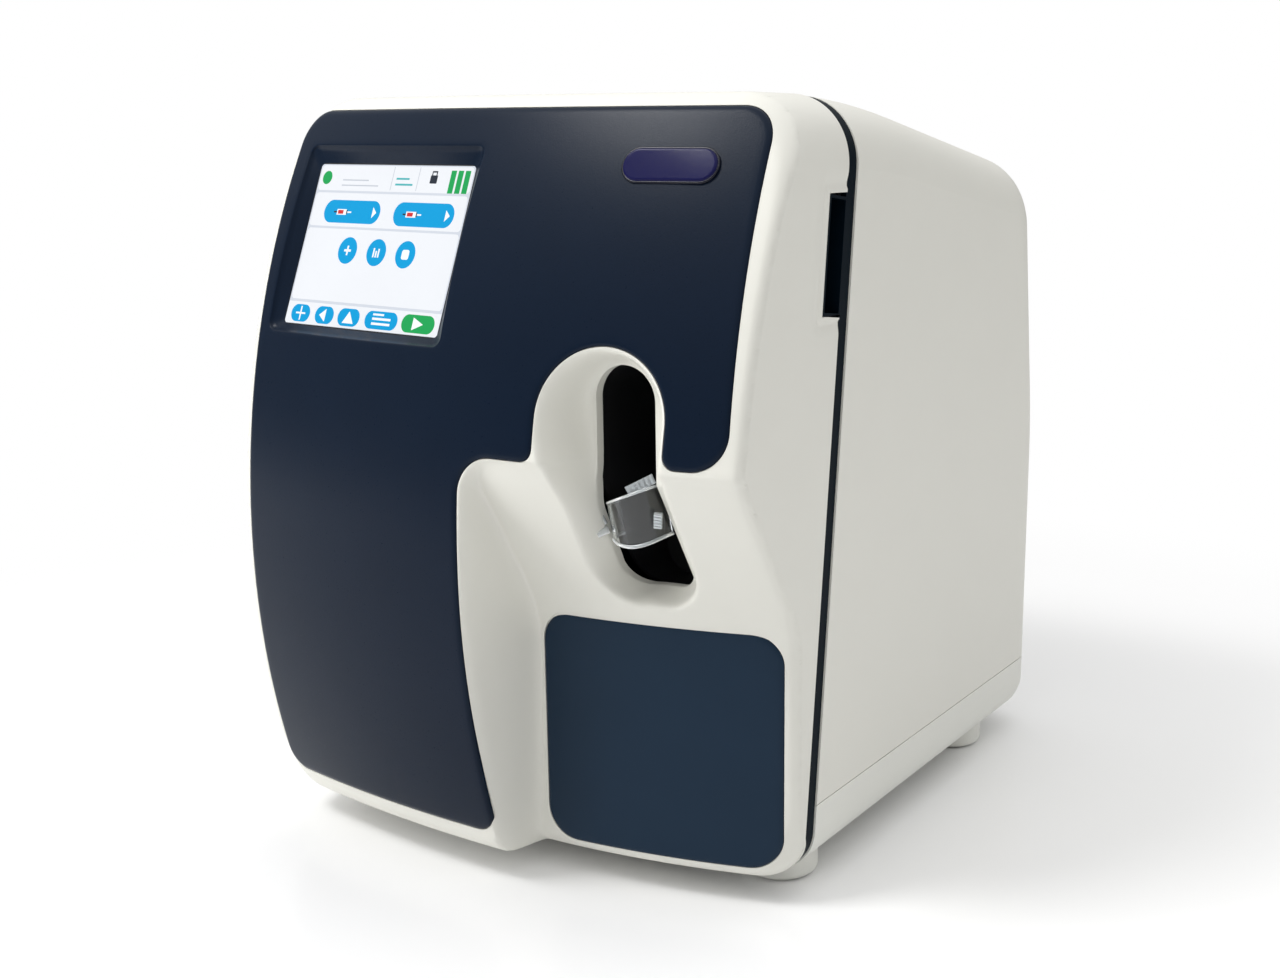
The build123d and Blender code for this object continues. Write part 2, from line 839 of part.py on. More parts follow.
# ================================================================ sampler guard, clear
def probe_plane(back):
    """Level across the probe, at a distance behind the aiming point. Local Y points up."""
    return Plane(
        origin=(
            probe_x,
            probe_aim_y + back * cos(radians(probe_tilt)),
            probe_aim_z + back * sin(radians(probe_tilt)),
        ),
        x_dir=(1, 0, 0),
        z_dir=(0, -cos(radians(probe_tilt)), -sin(radians(probe_tilt))),
    )


with BuildPart() as sampler_guard:
    with BuildSketch(probe_plane(guard_back)):
        Circle(guard_radius + guard_wall)
        Rectangle(2 * (guard_radius + guard_wall), guard_side, align=(Align.CENTER, Align.MIN))
        Circle(guard_radius, mode=Mode.SUBTRACT)
        Rectangle(2 * guard_radius, 2 * guard_radius, align=(Align.CENTER, Align.MIN), mode=Mode.SUBTRACT)
    extrude(amount=guard_length)
    with BuildSketch(probe_plane(guard_tab_back)):
        with Locations((-guard_radius - guard_wall, 0), (guard_radius + guard_wall, 0)):
            Rectangle(guard_tab_width, guard_side, align=(Align.CENTER, Align.CENTER))
    extrude(amount=guard_tab_length)
    add(upright_prism(slot_outline(0)), mode=Mode.INTERSECT)
keep(sampler_guard.part, "sampler_guard")

# ================================================================ door hinges
leaf_side = skin + pan_clearance + pan_thickness - hinge_inset
arm_side = skin - hinge_inset


def hinge_half(start, side, reach, bore):
    """One knuckle and its leaf. The leaf runs along local Y as far as reach."""
    if reach > 0:
        leaf_align = (Align.MIN, Align.MIN)
    else:
        leaf_align = (Align.MIN, Align.MAX)
    with BuildPart() as half:
        with BuildSketch(hinge_plane(start)):
            Circle(hinge_knuckle_radius)
            with Locations((side, 0)):
                Rectangle(hinge_leaf_thickness, abs(reach), align=leaf_align)
            Circle(bore, mode=Mode.SUBTRACT)
        extrude(amount=hinge_knuckle_length)
    return half.part


for height, place in ((hinge_low, "lower"), (hinge_high, "upper")):
    fixed_start = height - hinge_knuckle_length - hinge_knuckle_gap / 2
    moving_start = height + hinge_knuckle_gap / 2
    keep(hinge_half(fixed_start, leaf_side, hinge_leaf_reach, hinge_pin_radius), f"hinge_leaf_{place}")
    keep(
        hinge_half(moving_start, arm_side, -hinge_leaf_reach, hinge_pin_radius + hinge_fit),
        f"door_hinge_arm_{place}",
    )
    with BuildPart() as hinge_pin:
        with BuildSketch(hinge_plane(fixed_start)):
            Circle(hinge_pin_radius)
        extrude(amount=2 * hinge_knuckle_length + hinge_knuckle_gap)
    keep(hinge_pin.part, f"hinge_pin_{place}")

# ================================================================ seam band
hinge_room = hinge_knuckle_length + 2 * hinge_knuckle_gap

# The band's left edge is rounded about the pin line, so that the door swings past it.
with BuildPart() as band_edge:
    with BuildSketch(hinge_plane(-20)):
        Rectangle(20, 20, align=(Align.MAX, Align.MAX))
        Circle(hinge_knuckle_radius, mode=Mode.SUBTRACT)
    extrude(amount=case_height + 60)

with BuildPart() as seam_band:
    add(case_slab(band_inset, far_front, far_rear))
    split(bisect_by=seam_plane(-band_width), keep=Keep.BOTTOM)
    split(bisect_by=seam_plane(0), keep=Keep.TOP)
    add(case_slab(band_inset + band_depth, far_front, far_rear), mode=Mode.SUBTRACT)
    add(band_edge.part, mode=Mode.SUBTRACT)
    for height in (hinge_low, hinge_high):
        with BuildSketch(hinge_plane(height - hinge_room)):
            with Locations((hinge_knuckle_radius + hinge_knuckle_gap, 0)):
                Rectangle(30, 30, align=(Align.MAX, Align.CENTER))
        extrude(amount=2 * hinge_room, mode=Mode.SUBTRACT)
    with BuildSketch(seam_plane(-band_width)):
        with Locations((magnet_x, magnet_place)):
            Rectangle(magnet_width + 2 * panel_fit, magnet_length + 2 * panel_fit)
    extrude(amount=-strike_thickness, mode=Mode.SUBTRACT)
keep(seam_band.part, "seam_band")

with BuildPart() as strike:
    with BuildSketch(seam_plane(-band_width)):
        with Locations((magnet_x, magnet_place)):
            Rectangle(magnet_width, magnet_length)
    extrude(amount=-strike_thickness)
keep(strike.part, "strike_plate")

# ================================================================ rear cover
def cover_block(inset):
    """The rear cover's outside, its walls moved in."""
    with BuildPart() as block:
        with BuildSketch(Plane.YZ.offset(inset - half_width)):
            with BuildLine():
                Polyline(
                    (seam_foot - 30, case_underside - 40),
                    (seam_foot - 30, case_height),
                    (top_fall_start, case_height),
                    (case_rear - rear_top_setback, rear_top_height),
                    (case_rear, rear_lean_start),
                    (case_rear, case_underside - 40),
                    (seam_foot - 30, case_underside - 40),
                )
            make_face()
            fillet(vertices().sort_by_distance((top_fall_start, case_height))[0], crown_radius)
            fillet(
                vertices().sort_by_distance((case_rear - rear_top_setback, rear_top_height))[0],
                rear_top_radius,
            )
            fillet(vertices().sort_by_distance((case_rear, rear_lean_start))[0], rear_lean_radius)
            if inset:
                offset(amount=-inset)
        extrude(amount=case_width - 2 * inset)
        ends = faces().filter_by(Axis.X).edges()
        rims = ends.filter_by(lambda edge: edge.center().Z > 0 and edge.center().Y > seam_foot)
        fillet(rims, top_corner_radius - inset)
    return block.part


with BuildPart() as rear_cover:
    add(cover_block(0))
    add(cover_block(skin), mode=Mode.SUBTRACT)
    split(bisect_by=seam_plane(cover_gap), keep=Keep.BOTTOM)
    split(bisect_by=Plane.XY.offset(tray_height + base_gap), keep=Keep.TOP)
    with BuildSketch(Plane.XZ.offset(-far_rear)):
        with Locations((0, (rear_opening_bottom + rear_opening_top) / 2)):
            RectangleRounded(rear_opening_width, rear_opening_top - rear_opening_bottom, 6)
    extrude(amount=far_rear - case_rear + 20, mode=Mode.SUBTRACT)
keep(rear_cover.part, "rear_cover")

# ================================================================ base tray with its feet, and the pads
def tray_block(inset, top):
    """The base tray's outside, its walls moved in."""
    with BuildPart() as block:
        with BuildSketch(Plane.XY.offset(case_underside + inset)):
            with Locations((0, seam_foot - 20)):
                Rectangle(
                    case_width - 2 * inset,
                    case_rear - inset - seam_foot + 20,
                    align=(Align.CENTER, Align.MIN),
                )
            fillet(vertices().group_by(Axis.Y)[-1], top_corner_radius - inset)
        extrude(amount=top - case_underside - inset)
        fillet(edges().group_by(Axis.Z)[0].sort_by(Axis.Y)[1:], bottom_corner_radius - inset)
    return block.part


tray_floor = case_underside + skin
board_middle = ((board_left + board_right) / 2, (board_front + board_rear) / 2)
board_bays = (board_right - board_left - 2 * board_post_inset, board_rear - board_front - 2 * board_post_inset)

foot_x = half_width - foot_inset
foot_depth = (foot_front_y + foot_rear_y) / 2
foot_spread = foot_rear_y - foot_front_y

with BuildPart() as feet:
    with BuildSketch(Plane.XY.offset(pad_height / 2)):
        with Locations((0, foot_depth)):
            with GridLocations(2 * foot_x, foot_spread, 2, 2):
                Circle(foot_radius)
    extrude(amount=case_underside - pad_height / 2)
    fillet(edges().group_by(Axis.Z)[0], foot_edge)
    with BuildSketch(Plane.XY):
        with Locations((0, foot_depth)):
            with GridLocations(2 * foot_x, foot_spread, 2, 2):
                Circle(pad_radius + panel_fit)
    extrude(amount=pad_height, mode=Mode.SUBTRACT)

with BuildPart() as base_tray:
    add(tray_block(0, tray_height))
    with BuildSketch(Plane.XY.offset(case_underside)):
        with Locations((0, foot_depth)):
            with GridLocations(2 * foot_x, foot_spread, 2, 2):
                Circle(foot_radius)
    extrude(amount=bottom_corner_radius)
    add(tray_block(skin, tray_height + 10), mode=Mode.SUBTRACT)
    split(bisect_by=seam_plane(cover_gap), keep=Keep.BOTTOM)
    add(feet.part)
    with BuildSketch(Plane.XY.offset(tray_floor)):
        with Locations(board_middle):
            with GridLocations(board_bays[0], board_bays[1], 2, 2):
                Circle(board_post_radius)
    extrude(amount=board_height - tray_floor)
    with BuildSketch(Plane.XY.offset(tray_floor)):
        with Locations((0, seam_y(tray_floor, pan_depth / 2))):
            with GridLocations(pan_post_spread, 5 * board_post_radius, 2, 2):
                Circle(board_post_radius)
    extrude(amount=pan_clearance)
    with BuildSketch(Plane.XY):
        with Locations((vent_x, vent_y)):
            with GridLocations(vent_pitch, 0, vents, 1):
                SlotOverall(vent_length, vent_width, rotation=90)
    extrude(amount=tray_floor + 1, mode=Mode.SUBTRACT)
keep(base_tray.part, "base_tray")

for side, side_name in ((-1, "left"), (1, "right")):
    for depth, end_name in ((foot_front_y, "front"), (foot_rear_y, "rear")):
        with BuildPart() as pad:
            with BuildSketch(Plane.XY):
                with Locations((side * foot_x, depth)):
                    Circle(pad_radius)
            extrude(amount=pad_height)
        keep(pad.part, f"foot_pad_{end_name}_{side_name}")

# ================================================================ inner pan
pan_side = skin + pan_clearance
bulkhead = seam_plane(pan_depth - pan_thickness)
bulkhead_rear = bulkhead.offset(-pan_thickness * cos(tilt))

with BuildPart() as pan_room:
    add(case_slab(pan_side + pan_thickness, far_front, far_rear))
    add(cover_block(pan_side + pan_thickness), mode=Mode.INTERSECT)
    split(bisect_by=bulkhead, keep=Keep.TOP)

with BuildPart() as inner_pan:
    add(case_slab(pan_side, far_front, far_rear))
    add(cover_block(pan_side), mode=Mode.INTERSECT)
    split(bisect_by=seam_plane(0), keep=Keep.BOTTOM)
    split(bisect_by=bulkhead_rear, keep=Keep.TOP)
    add(pan_room.part, mode=Mode.SUBTRACT)
    with BuildSketch(bulkhead):
        with Locations((probe_x, (pan_opening_bottom + pan_opening_top) / 2)):
            RectangleRounded(pan_opening_width, pan_opening_top - pan_opening_bottom, 5)
        with Locations((pump_x, pump_s)):
            Circle(pump_shaft_radius + 1)
    extrude(amount=-2 * pan_thickness, mode=Mode.SUBTRACT)
keep(inner_pan.part, "inner_pan")

# ================================================================ calibrator cartridge and bay
handle_s = cartridge_s + cartridge_length / 2 - 2 * handle_height

with BuildPart() as cartridge_bay:
    with BuildSketch(bulkhead):
        with Locations((cartridge_x, cartridge_s)):
            RectangleRounded(
                cartridge_width + 2 * bay_rim,
                cartridge_length + 2 * bay_rim,
                cartridge_corner + bay_rim,
            )
    extrude(amount=bay_height)
    with BuildSketch(bulkhead.offset(bay_base)):
        with Locations((cartridge_x, cartridge_s)):
            RectangleRounded(
                cartridge_width + 2 * panel_fit,
                cartridge_length + 2 * panel_fit,
                cartridge_corner,
            )
    extrude(amount=bay_height, mode=Mode.SUBTRACT)
keep(cartridge_bay.part, "cartridge_bay")

with BuildPart() as calibrator_cartridge:
    with BuildSketch(bulkhead.offset(bay_base)):
        with Locations((cartridge_x, cartridge_s)):
            RectangleRounded(cartridge_width, cartridge_length, cartridge_corner)
    extrude(amount=cartridge_depth)
    fillet(faces().sort_by(Axis.Y)[0].edges(), cartridge_edge)
    with BuildSketch(bulkhead.offset(bay_base + cartridge_depth)):
        with Locations((cartridge_x, handle_s)):
            SlotOverall(handle_width, handle_height)
    extrude(amount=-handle_height, mode=Mode.SUBTRACT)
    with BuildSketch(bulkhead.offset(bay_base + cartridge_depth - handle_bar_sink)):
        with Locations((cartridge_x, handle_s)):
            Rectangle(handle_bar, handle_height)
    extrude(amount=-handle_bar_depth)
keep(calibrator_cartridge.part, "calibrator_cartridge")

# ================================================================ sensor card, holder and latch
with BuildPart() as card_holder:
    with BuildSketch(bulkhead):
        with Locations((card_x, card_s)):
            RectangleRounded(card_width + 2 * holder_rim, card_length + 2 * holder_rim, 4)
        with Locations((latch_x, latch_s)):
            Circle(2 * latch_post_radius)
    extrude(amount=holder_height)
    with BuildSketch(bulkhead.offset(holder_base)):
        with Locations((card_x, card_s)):
            RectangleRounded(card_width + 2 * panel_fit, card_length + 2 * panel_fit, 2)
    extrude(amount=holder_height, mode=Mode.SUBTRACT)
    with BuildSketch(bulkhead.offset(holder_height)):
        with Locations((latch_x, latch_s)):
            Circle(latch_post_radius)
    extrude(amount=latch_thickness + 3)
keep(card_holder.part, "card_holder")

with BuildPart() as sensor_card:
    with BuildSketch(bulkhead.offset(holder_base)):
        with Locations((card_x, card_s)):
            RectangleRounded(card_width, card_length, 2)
    extrude(amount=card_thickness)
    with BuildSketch(bulkhead.offset(holder_base + card_thickness)):
        with Locations((card_x, card_s)):
            SlotOverall(card_length - 20, 6, rotation=90)
    extrude(amount=-1, mode=Mode.SUBTRACT)
keep(sensor_card.part, "sensor_card")

latch_face = bulkhead.offset(holder_height + 1.5)
with BuildPart() as card_latch:
    with BuildSketch(latch_face):
        with Locations((latch_x, latch_s)):
            Circle(latch_width / 2 + 1)
            Rectangle(latch_length, latch_width, align=(Align.MIN, Align.CENTER))
        with Locations((latch_x + latch_length, latch_s)):
            Circle(latch_width / 2)
        with Locations((latch_x, latch_s)):
            Circle(latch_post_radius + hinge_fit, mode=Mode.SUBTRACT)
    extrude(amount=latch_thickness)
    with BuildSketch(latch_face):
        with Locations((latch_x + latch_length, latch_s - latch_width / 2)):
            Rectangle(latch_width, 2 * latch_width, align=(Align.CENTER, Align.MAX))
    extrude(amount=latch_thickness)
keep(card_latch.part, "card_latch")

# ================================================================ valve manifold
with BuildPart() as valve_manifold:
    with BuildSketch(bulkhead):
        with Locations((manifold_x, manifold_s)):
            RectangleRounded(manifold_width, manifold_length, 3)
    extrude(amount=manifold_depth)
    with BuildSketch(bulkhead.offset(manifold_depth)):
        with Locations((manifold_x, manifold_s)):
            with GridLocations(13, 0, 4, 1):
                Circle(valve_radius)
    extrude(amount=valve_length)
keep(valve_manifold.part, "valve_manifold")

# ================================================================ pump
pump_top = roller_base + 2 * rotor_plate + roller_length + 2 * hinge_knuckle_gap
tube_depth = roller_base + rotor_plate + hinge_knuckle_gap + roller_length / 2
tube_circle = pump_track_radius - tube_radius - hinge_fit

with BuildPart() as pump_housing:
    with BuildSketch(bulkhead):
        with Locations((pump_x, pump_s)):
            Circle(pump_outer_radius)
            Rectangle(2 * pump_outer_radius, pump_outer_radius, align=(Align.CENTER, Align.MAX))
    extrude(amount=pump_depth)
    with BuildSketch(bulkhead.offset(roller_base - hinge_knuckle_gap)):
        with Locations((pump_x, pump_s)):
            Circle(pump_track_radius)
            Rectangle(2 * pump_track_radius, 2 * pump_outer_radius, align=(Align.CENTER, Align.MAX))
    extrude(amount=pump_depth, mode=Mode.SUBTRACT)
    with BuildSketch(bulkhead):
        with Locations((pump_x, pump_s)):
            Circle(pump_shaft_radius + hinge_fit)
    extrude(amount=pump_depth, mode=Mode.SUBTRACT)
keep(pump_housing.part, "pump_housing")

with BuildPart() as pump_motor:
    with BuildSketch(bulkhead_rear):
        with Locations((pump_x, pump_s)):
            Circle(motor_size / 2)
            Circle(pump_shaft_radius + hinge_fit, mode=Mode.SUBTRACT)
    extrude(amount=-pump_motor_bore)
    with BuildSketch(bulkhead_rear.offset(-pump_motor_bore)):
        with Locations((pump_x, pump_s)):
            Circle(motor_size / 2)
    extrude(amount=pump_motor_bore - motor_length)
keep(pump_motor.part, "pump_motor")

with BuildPart() as pump_rotor:
    with BuildSketch(bulkhead.offset(roller_base)):
        with Locations((pump_x, pump_s)):
            Circle(pump_roller_circle + pump_roller_pin_radius + rotor_rim)
    extrude(amount=rotor_plate)
    with BuildSketch(bulkhead.offset(roller_base)):
        with Locations((pump_x, pump_s)):
            Circle(pump_roller_circle - pump_roller_radius - rotor_rim)
            with PolarLocations(pump_roller_circle, rollers):
                Circle(pump_roller_pin_radius)
    extrude(amount=pump_top - roller_base)
    with BuildSketch(bulkhead.offset(pump_top - rotor_plate)):
        with Locations((pump_x, pump_s)):
            Circle(pump_roller_circle + pump_roller_pin_radius + rotor_rim)
    extrude(amount=rotor_plate)
    with BuildSketch(bulkhead.offset(roller_base)):
        with Locations((pump_x, pump_s)):
            Circle(pump_shaft_radius)
    extrude(amount=-roller_base - pan_thickness - pump_motor_bore + 2 * rotor_gap)
keep(pump_rotor.part, "pump_rotor")

for number in range(rollers):
    turn = radians(360 / rollers * number)
    with BuildPart() as pump_roller:
        with BuildSketch(bulkhead.offset(roller_base + rotor_plate + hinge_knuckle_gap)):
            with Locations((
                pump_x + pump_roller_circle * cos(turn),
                pump_s + pump_roller_circle * sin(turn),
            )):
                Circle(pump_roller_radius)
                Circle(pump_roller_pin_radius + hinge_fit, mode=Mode.SUBTRACT)
        extrude(amount=roller_length)
    keep(pump_roller.part, f"pump_roller_{number + 1}")

tube_plane = bulkhead.offset(tube_depth)
tube_left = pump_x - tube_circle
tube_right = pump_x + tube_circle
manifold_right = manifold_x + manifold_width / 2
bay_right = cartridge_x + cartridge_width / 2 + bay_rim
with BuildPart() as pump_tube:
    with BuildLine(tube_plane) as tube_path:
        inlet_run = FilletPolyline(
            (manifold_right, manifold_s),
            (tube_rise, manifold_s),
            (tube_rise, tube_turn),
            (tube_left, tube_turn),
            (tube_left, pump_s),
            radius=tube_bend,
        )
        squeeze = ThreePointArc((tube_left, pump_s), (pump_x, pump_s + tube_circle), (tube_right, pump_s))
        outlet_run = FilletPolyline(
            (tube_right, pump_s),
            (tube_right, tube_foot),
            (bay_right, tube_foot),
            radius=tube_bend,
        )
    with BuildSketch(Plane(origin=tube_path.wires()[0] @ 0, z_dir=tube_path.wires()[0] % 0)):
        Circle(tube_radius)
    sweep(path=tube_path.wires()[0])
keep(pump_tube.part, "pump_tube")

# ================================================================ sampler
rod_places = ((-rod_spacing / 2, 0), (rod_spacing / 2, 0))
screw_place = (0, screw_rise)
frame_middle = (sampler_low + sampler_high) / 2
carriage_front = probe_rest + probe_length - carriage_length
sampler_front = carriage_front - probe_travel - carriage_spare - sampler_block
frame_height = sampler_high - sampler_low
carriage_back = probe_rest + probe_length

with BuildPart() as sampler_frame:
    with BuildSketch(bulkhead_rear):
        with Locations((probe_x, (flange_bottom + flange_top) / 2)):
            RectangleRounded(flange_width, flange_top - flange_bottom, 5)
    extrude(amount=-flange_thickness)
    with BuildSketch(probe_plane(sampler_rear)):
        with Locations((0, sampler_low)):
            Rectangle(sampler_width, frame_height + 4, align=(Align.CENTER, Align.MIN))
    extrude(amount=sampler_rear - sampler_front, mode=Mode.SUBTRACT)
    with BuildSketch(probe_plane(sampler_rear)):
        with Locations((0, sampler_low)):
            Rectangle(sampler_width, sampler_plate, align=(Align.CENTER, Align.MIN))
    extrude(amount=sampler_rear - sampler_front)
    with BuildSketch(probe_plane(sampler_front + sampler_block)):
        with Locations((0, frame_middle)):
            Rectangle(sampler_width, frame_height)
        with Locations(*rod_places):
            Circle(rod_radius, mode=Mode.SUBTRACT)
        with Locations(screw_place):
            Circle(lead_screw_radius + rod_fit, mode=Mode.SUBTRACT)
        Circle(hub_radius, mode=Mode.SUBTRACT)
    extrude(amount=sampler_block)
    with BuildSketch(probe_plane(sampler_rear)):
        with Locations((0, frame_middle)):
            Rectangle(sampler_width, frame_height)
        with Locations(*rod_places):
            Circle(rod_radius, mode=Mode.SUBTRACT)
        with Locations(screw_place):
            Circle(lead_screw_radius + rod_fit, mode=Mode.SUBTRACT)
    extrude(amount=-sampler_block)
keep(sampler_frame.part, "sampler_frame")

for place, name in ((rod_places[0], "guide_rod_left"), (rod_places[1], "guide_rod_right")):
    with BuildPart() as guide_rod:
        with BuildSketch(probe_plane(sampler_rear + sampler_block)):
            with Locations(place):
                Circle(rod_radius)
        extrude(amount=sampler_rear - sampler_front + sampler_block)
    keep(guide_rod.part, name)

with BuildPart() as wipe_block:
    with BuildSketch(probe_plane(sampler_front + sampler_block)):
        Circle(hub_radius)
        Circle(probe_radius + rod_fit, mode=Mode.SUBTRACT)
    extrude(amount=sampler_block + 6)
keep(wipe_block.part, "probe_wipe_block")

with BuildPart() as sampler_motor:
    with BuildSketch(probe_plane(sampler_rear + sampler_block)):
        with Locations(screw_place):
            RectangleRounded(motor_size, motor_size, 3)
            Circle(lead_screw_radius + rod_fit, mode=Mode.SUBTRACT)
    extrude(amount=-motor_seat)
    with BuildSketch(probe_plane(sampler_rear + sampler_block + motor_seat)):
        with Locations(screw_place):
            RectangleRounded(motor_size, motor_size, 3)
    extrude(amount=motor_seat - motor_length)
keep(sampler_motor.part, "sampler_motor")

with BuildPart() as lead_screw:
    with BuildSketch(probe_plane(sampler_rear + sampler_block + motor_seat - 1)):
        with Locations(screw_place):
            Circle(lead_screw_radius)
    extrude(amount=sampler_rear - sampler_front + sampler_block + motor_seat - 2)
keep(lead_screw.part, "lead_screw")

with BuildPart() as probe_carriage:
    with BuildSketch(probe_plane(carriage_back)):
        with Locations((0, (carriage_low + carriage_high) / 2)):
            RectangleRounded(carriage_width, carriage_high - carriage_low, 2)
        with Locations(*rod_places):
            Circle(rod_radius + rod_fit, mode=Mode.SUBTRACT)
        with Locations(screw_place):
            Circle(lead_screw_radius + rod_fit, mode=Mode.SUBTRACT)
        Circle(probe_radius, mode=Mode.SUBTRACT)
    extrude(amount=carriage_length)
keep(probe_carriage.part, "probe_carriage")

with BuildPart() as sampling_probe:
    with BuildSketch(probe_plane(carriage_back)):
        Circle(probe_radius)
    extrude(amount=probe_length)
    fillet(faces().sort_by(Axis.Y)[0].edges(), probe_radius / 2)
keep(sampling_probe.part, "sampling_probe")

# ================================================================ rear panel
rear_wall = case_rear - skin
opening_height = rear_opening_top - rear_opening_bottom
opening_middle = (rear_opening_top + rear_opening_bottom) / 2
panel_front = rear_wall - rear_panel_thickness
panel_inner = Plane.XZ.offset(-panel_front)
panel_outer = Plane.XZ.offset(-rear_wall)
ports_width = (ports - 1) * port_pitch + port_width
inlet_low = inlet_z - inlet_height / 2 - flange_lap
switch_high = switch_z + switch_height / 2 + flange_lap

with BuildPart() as rear_panel:
    with BuildSketch(panel_outer):
        with Locations((0, opening_middle)):
            RectangleRounded(
                rear_opening_width + 2 * rear_panel_lap,
                opening_height + 2 * rear_panel_lap,
                rear_panel_corner,
            )
        with Locations((fan_x, fan_z)):
            Circle(fan_bore, mode=Mode.SUBTRACT)
        with Locations((inlet_x, inlet_z)):
            Rectangle(inlet_width + 2 * panel_fit, inlet_height + 2 * panel_fit, mode=Mode.SUBTRACT)
        with Locations((inlet_x, switch_z)):
            Rectangle(switch_width + 2 * panel_fit, switch_height + 2 * panel_fit, mode=Mode.SUBTRACT)
        with Locations((port_x, port_z)):
            Rectangle(ports_width + 2 * panel_fit, port_height + 2 * panel_fit, mode=Mode.SUBTRACT)
    extrude(amount=rear_panel_thickness)
keep(rear_panel.part, "rear_panel")

with BuildPart() as data_ports:
    with BuildSketch(panel_outer):
        with Locations((port_x, port_z)):
            Rectangle(ports_width, port_height)
    extrude(amount=rear_wall - board_rear + port_socket_depth)
    with BuildSketch(panel_outer):
        with Locations((port_x, port_z)):
            with GridLocations(port_pitch, 0, ports, 1):
                Rectangle(port_width - 2 * port_wall, port_height - 2 * port_wall)
    extrude(amount=port_socket_depth, mode=Mode.SUBTRACT)
    split(bisect_by=Plane.XY.offset(board_height + board_thickness), keep=Keep.TOP)
keep(data_ports.part, "data_ports")

with BuildPart() as mains_inlet:
    with BuildSketch(panel_outer):
        with Locations((inlet_x, (inlet_low + switch_high) / 2)):
            RectangleRounded(inlet_width + 2 * flange_lap, switch_high - inlet_low, flange_lap)
    extrude(amount=-inlet_flange)
    with BuildSketch(panel_outer):
        with Locations((inlet_x, inlet_z)):
            Rectangle(inlet_width, inlet_height)
    extrude(amount=inlet_depth)
    with BuildSketch(panel_outer):
        with Locations((inlet_x, switch_z)):
            Rectangle(switch_width, switch_height)
    extrude(amount=switch_depth)
    with BuildSketch(panel_outer.offset(-inlet_flange)):
        with Locations((inlet_x, inlet_z)):
            RectangleRounded(inlet_width - 2 * inlet_rim, inlet_height - 2 * inlet_flange, flange_lap)
    extrude(amount=inlet_socket_depth + inlet_flange, mode=Mode.SUBTRACT)
    with BuildSketch(panel_outer.offset(inlet_socket_depth)):
        with Locations(
            (inlet_x, inlet_z + inlet_pin_width),
            (inlet_x - inlet_pin_spread, inlet_z - inlet_pin_width),
            (inlet_x + inlet_pin_spread, inlet_z - inlet_pin_width),
        ):
            Rectangle(inlet_pin_width, inlet_pin_height)
    extrude(amount=inlet_flange - inlet_socket_depth)
    with BuildSketch(panel_outer.offset(-inlet_flange)):
        with Locations((inlet_x, switch_z)):
            Rectangle(rocker_width, rocker_height)
    extrude(amount=rocker_room, mode=Mode.SUBTRACT)
    with BuildSketch(Plane.YZ.offset(inlet_x)):
        with Locations((rear_wall - rocker_depth, switch_z)):
            Circle(rocker_pin + hinge_fit)
    extrude(amount=rocker_width / 2 + 2, both=True, mode=Mode.SUBTRACT)
keep(mains_inlet.part, "mains_inlet")

with BuildPart() as power_rocker:
    with BuildSketch(Plane.YZ.offset(inlet_x)):
        with Locations((rear_wall - rocker_depth, switch_z)):
            Polygon(
                (7.5, 7.2),
                (5.5, 0),
                (7.5, -7.2),
                (-2, -6.8),
                (-2, 6.8),
                align=None,
            )
    extrude(amount=rocker_width / 2 - rocker_fit, both=True)
    with BuildSketch(Plane.YZ.offset(inlet_x)):
        with Locations((rear_wall - rocker_depth, switch_z)):
            Circle(rocker_pin)
    extrude(amount=rocker_width / 2 + 1.8, both=True)
keep(power_rocker.part, "power_rocker")

# ================================================================ fan
with BuildPart() as fan_frame:
    with BuildSketch(panel_inner):
        with Locations((fan_x, fan_z)):
            RectangleRounded(fan_size, fan_size, 4)
            Circle(fan_bore, mode=Mode.SUBTRACT)
    extrude(amount=fan_depth)
    with BuildSketch(panel_inner.offset(fan_depth)):
        with Locations((fan_x, fan_z)):
            Circle(fan_hub)
            Rectangle(2 * fan_bore + fan_arm / 2, fan_arm, rotation=45)
            Rectangle(2 * fan_bore + fan_arm / 2, fan_arm, rotation=-45)
            Circle(fan_shaft + hinge_fit, mode=Mode.SUBTRACT)
    extrude(amount=-fan_spider)
keep(fan_frame.part, "fan_frame")

fan_room = fan_depth - fan_spider - 2 * fan_gap
with BuildPart() as fan_rotor:
    with BuildSketch(panel_inner.offset(fan_gap)):
        with Locations((fan_x, fan_z)):
            Circle(fan_hub)
    extrude(amount=fan_room)
    for number in range(blades):
        turn = 360 / blades * number
        blade_root = Plane(
            origin=(
                fan_x + (fan_hub - blade_root_depth) * cos(radians(turn)),
                panel_front - fan_gap - fan_room / 2,
                fan_z + (fan_hub - blade_root_depth) * sin(radians(turn)),
            ),
            x_dir=(0, 1, 0),
            z_dir=(cos(radians(turn)), 0, sin(radians(turn))),
        )
        with BuildSketch(blade_root):
            Rectangle(fan_room, blade_thickness, rotation=blade_pitch)
        extrude(amount=fan_bore - fan_hub)
    with BuildSketch(panel_inner.offset(fan_gap + fan_room)):
        with Locations((fan_x, fan_z)):
            Circle(fan_shaft)
    extrude(amount=fan_spider)
keep(fan_rotor.part, "fan_rotor")

with BuildPart() as fan_guard:
    with BuildSketch(panel_outer):
        with Locations((fan_x, fan_z)):
            Circle(fan_bore + 2)
            Circle(fan_bore - 1, mode=Mode.SUBTRACT)
            Circle(fan_bore * 0.7)
            Circle(fan_bore * 0.7 - guard_wire, mode=Mode.SUBTRACT)
    with BuildSketch(panel_outer):
        with Locations((fan_x, fan_z)):
            Circle(fan_hub * 0.7)
            Rectangle(2 * fan_bore, guard_wire)
            Rectangle(guard_wire, 2 * fan_bore)
    extrude(amount=-guard_wire)
keep(fan_guard.part, "fan_guard")

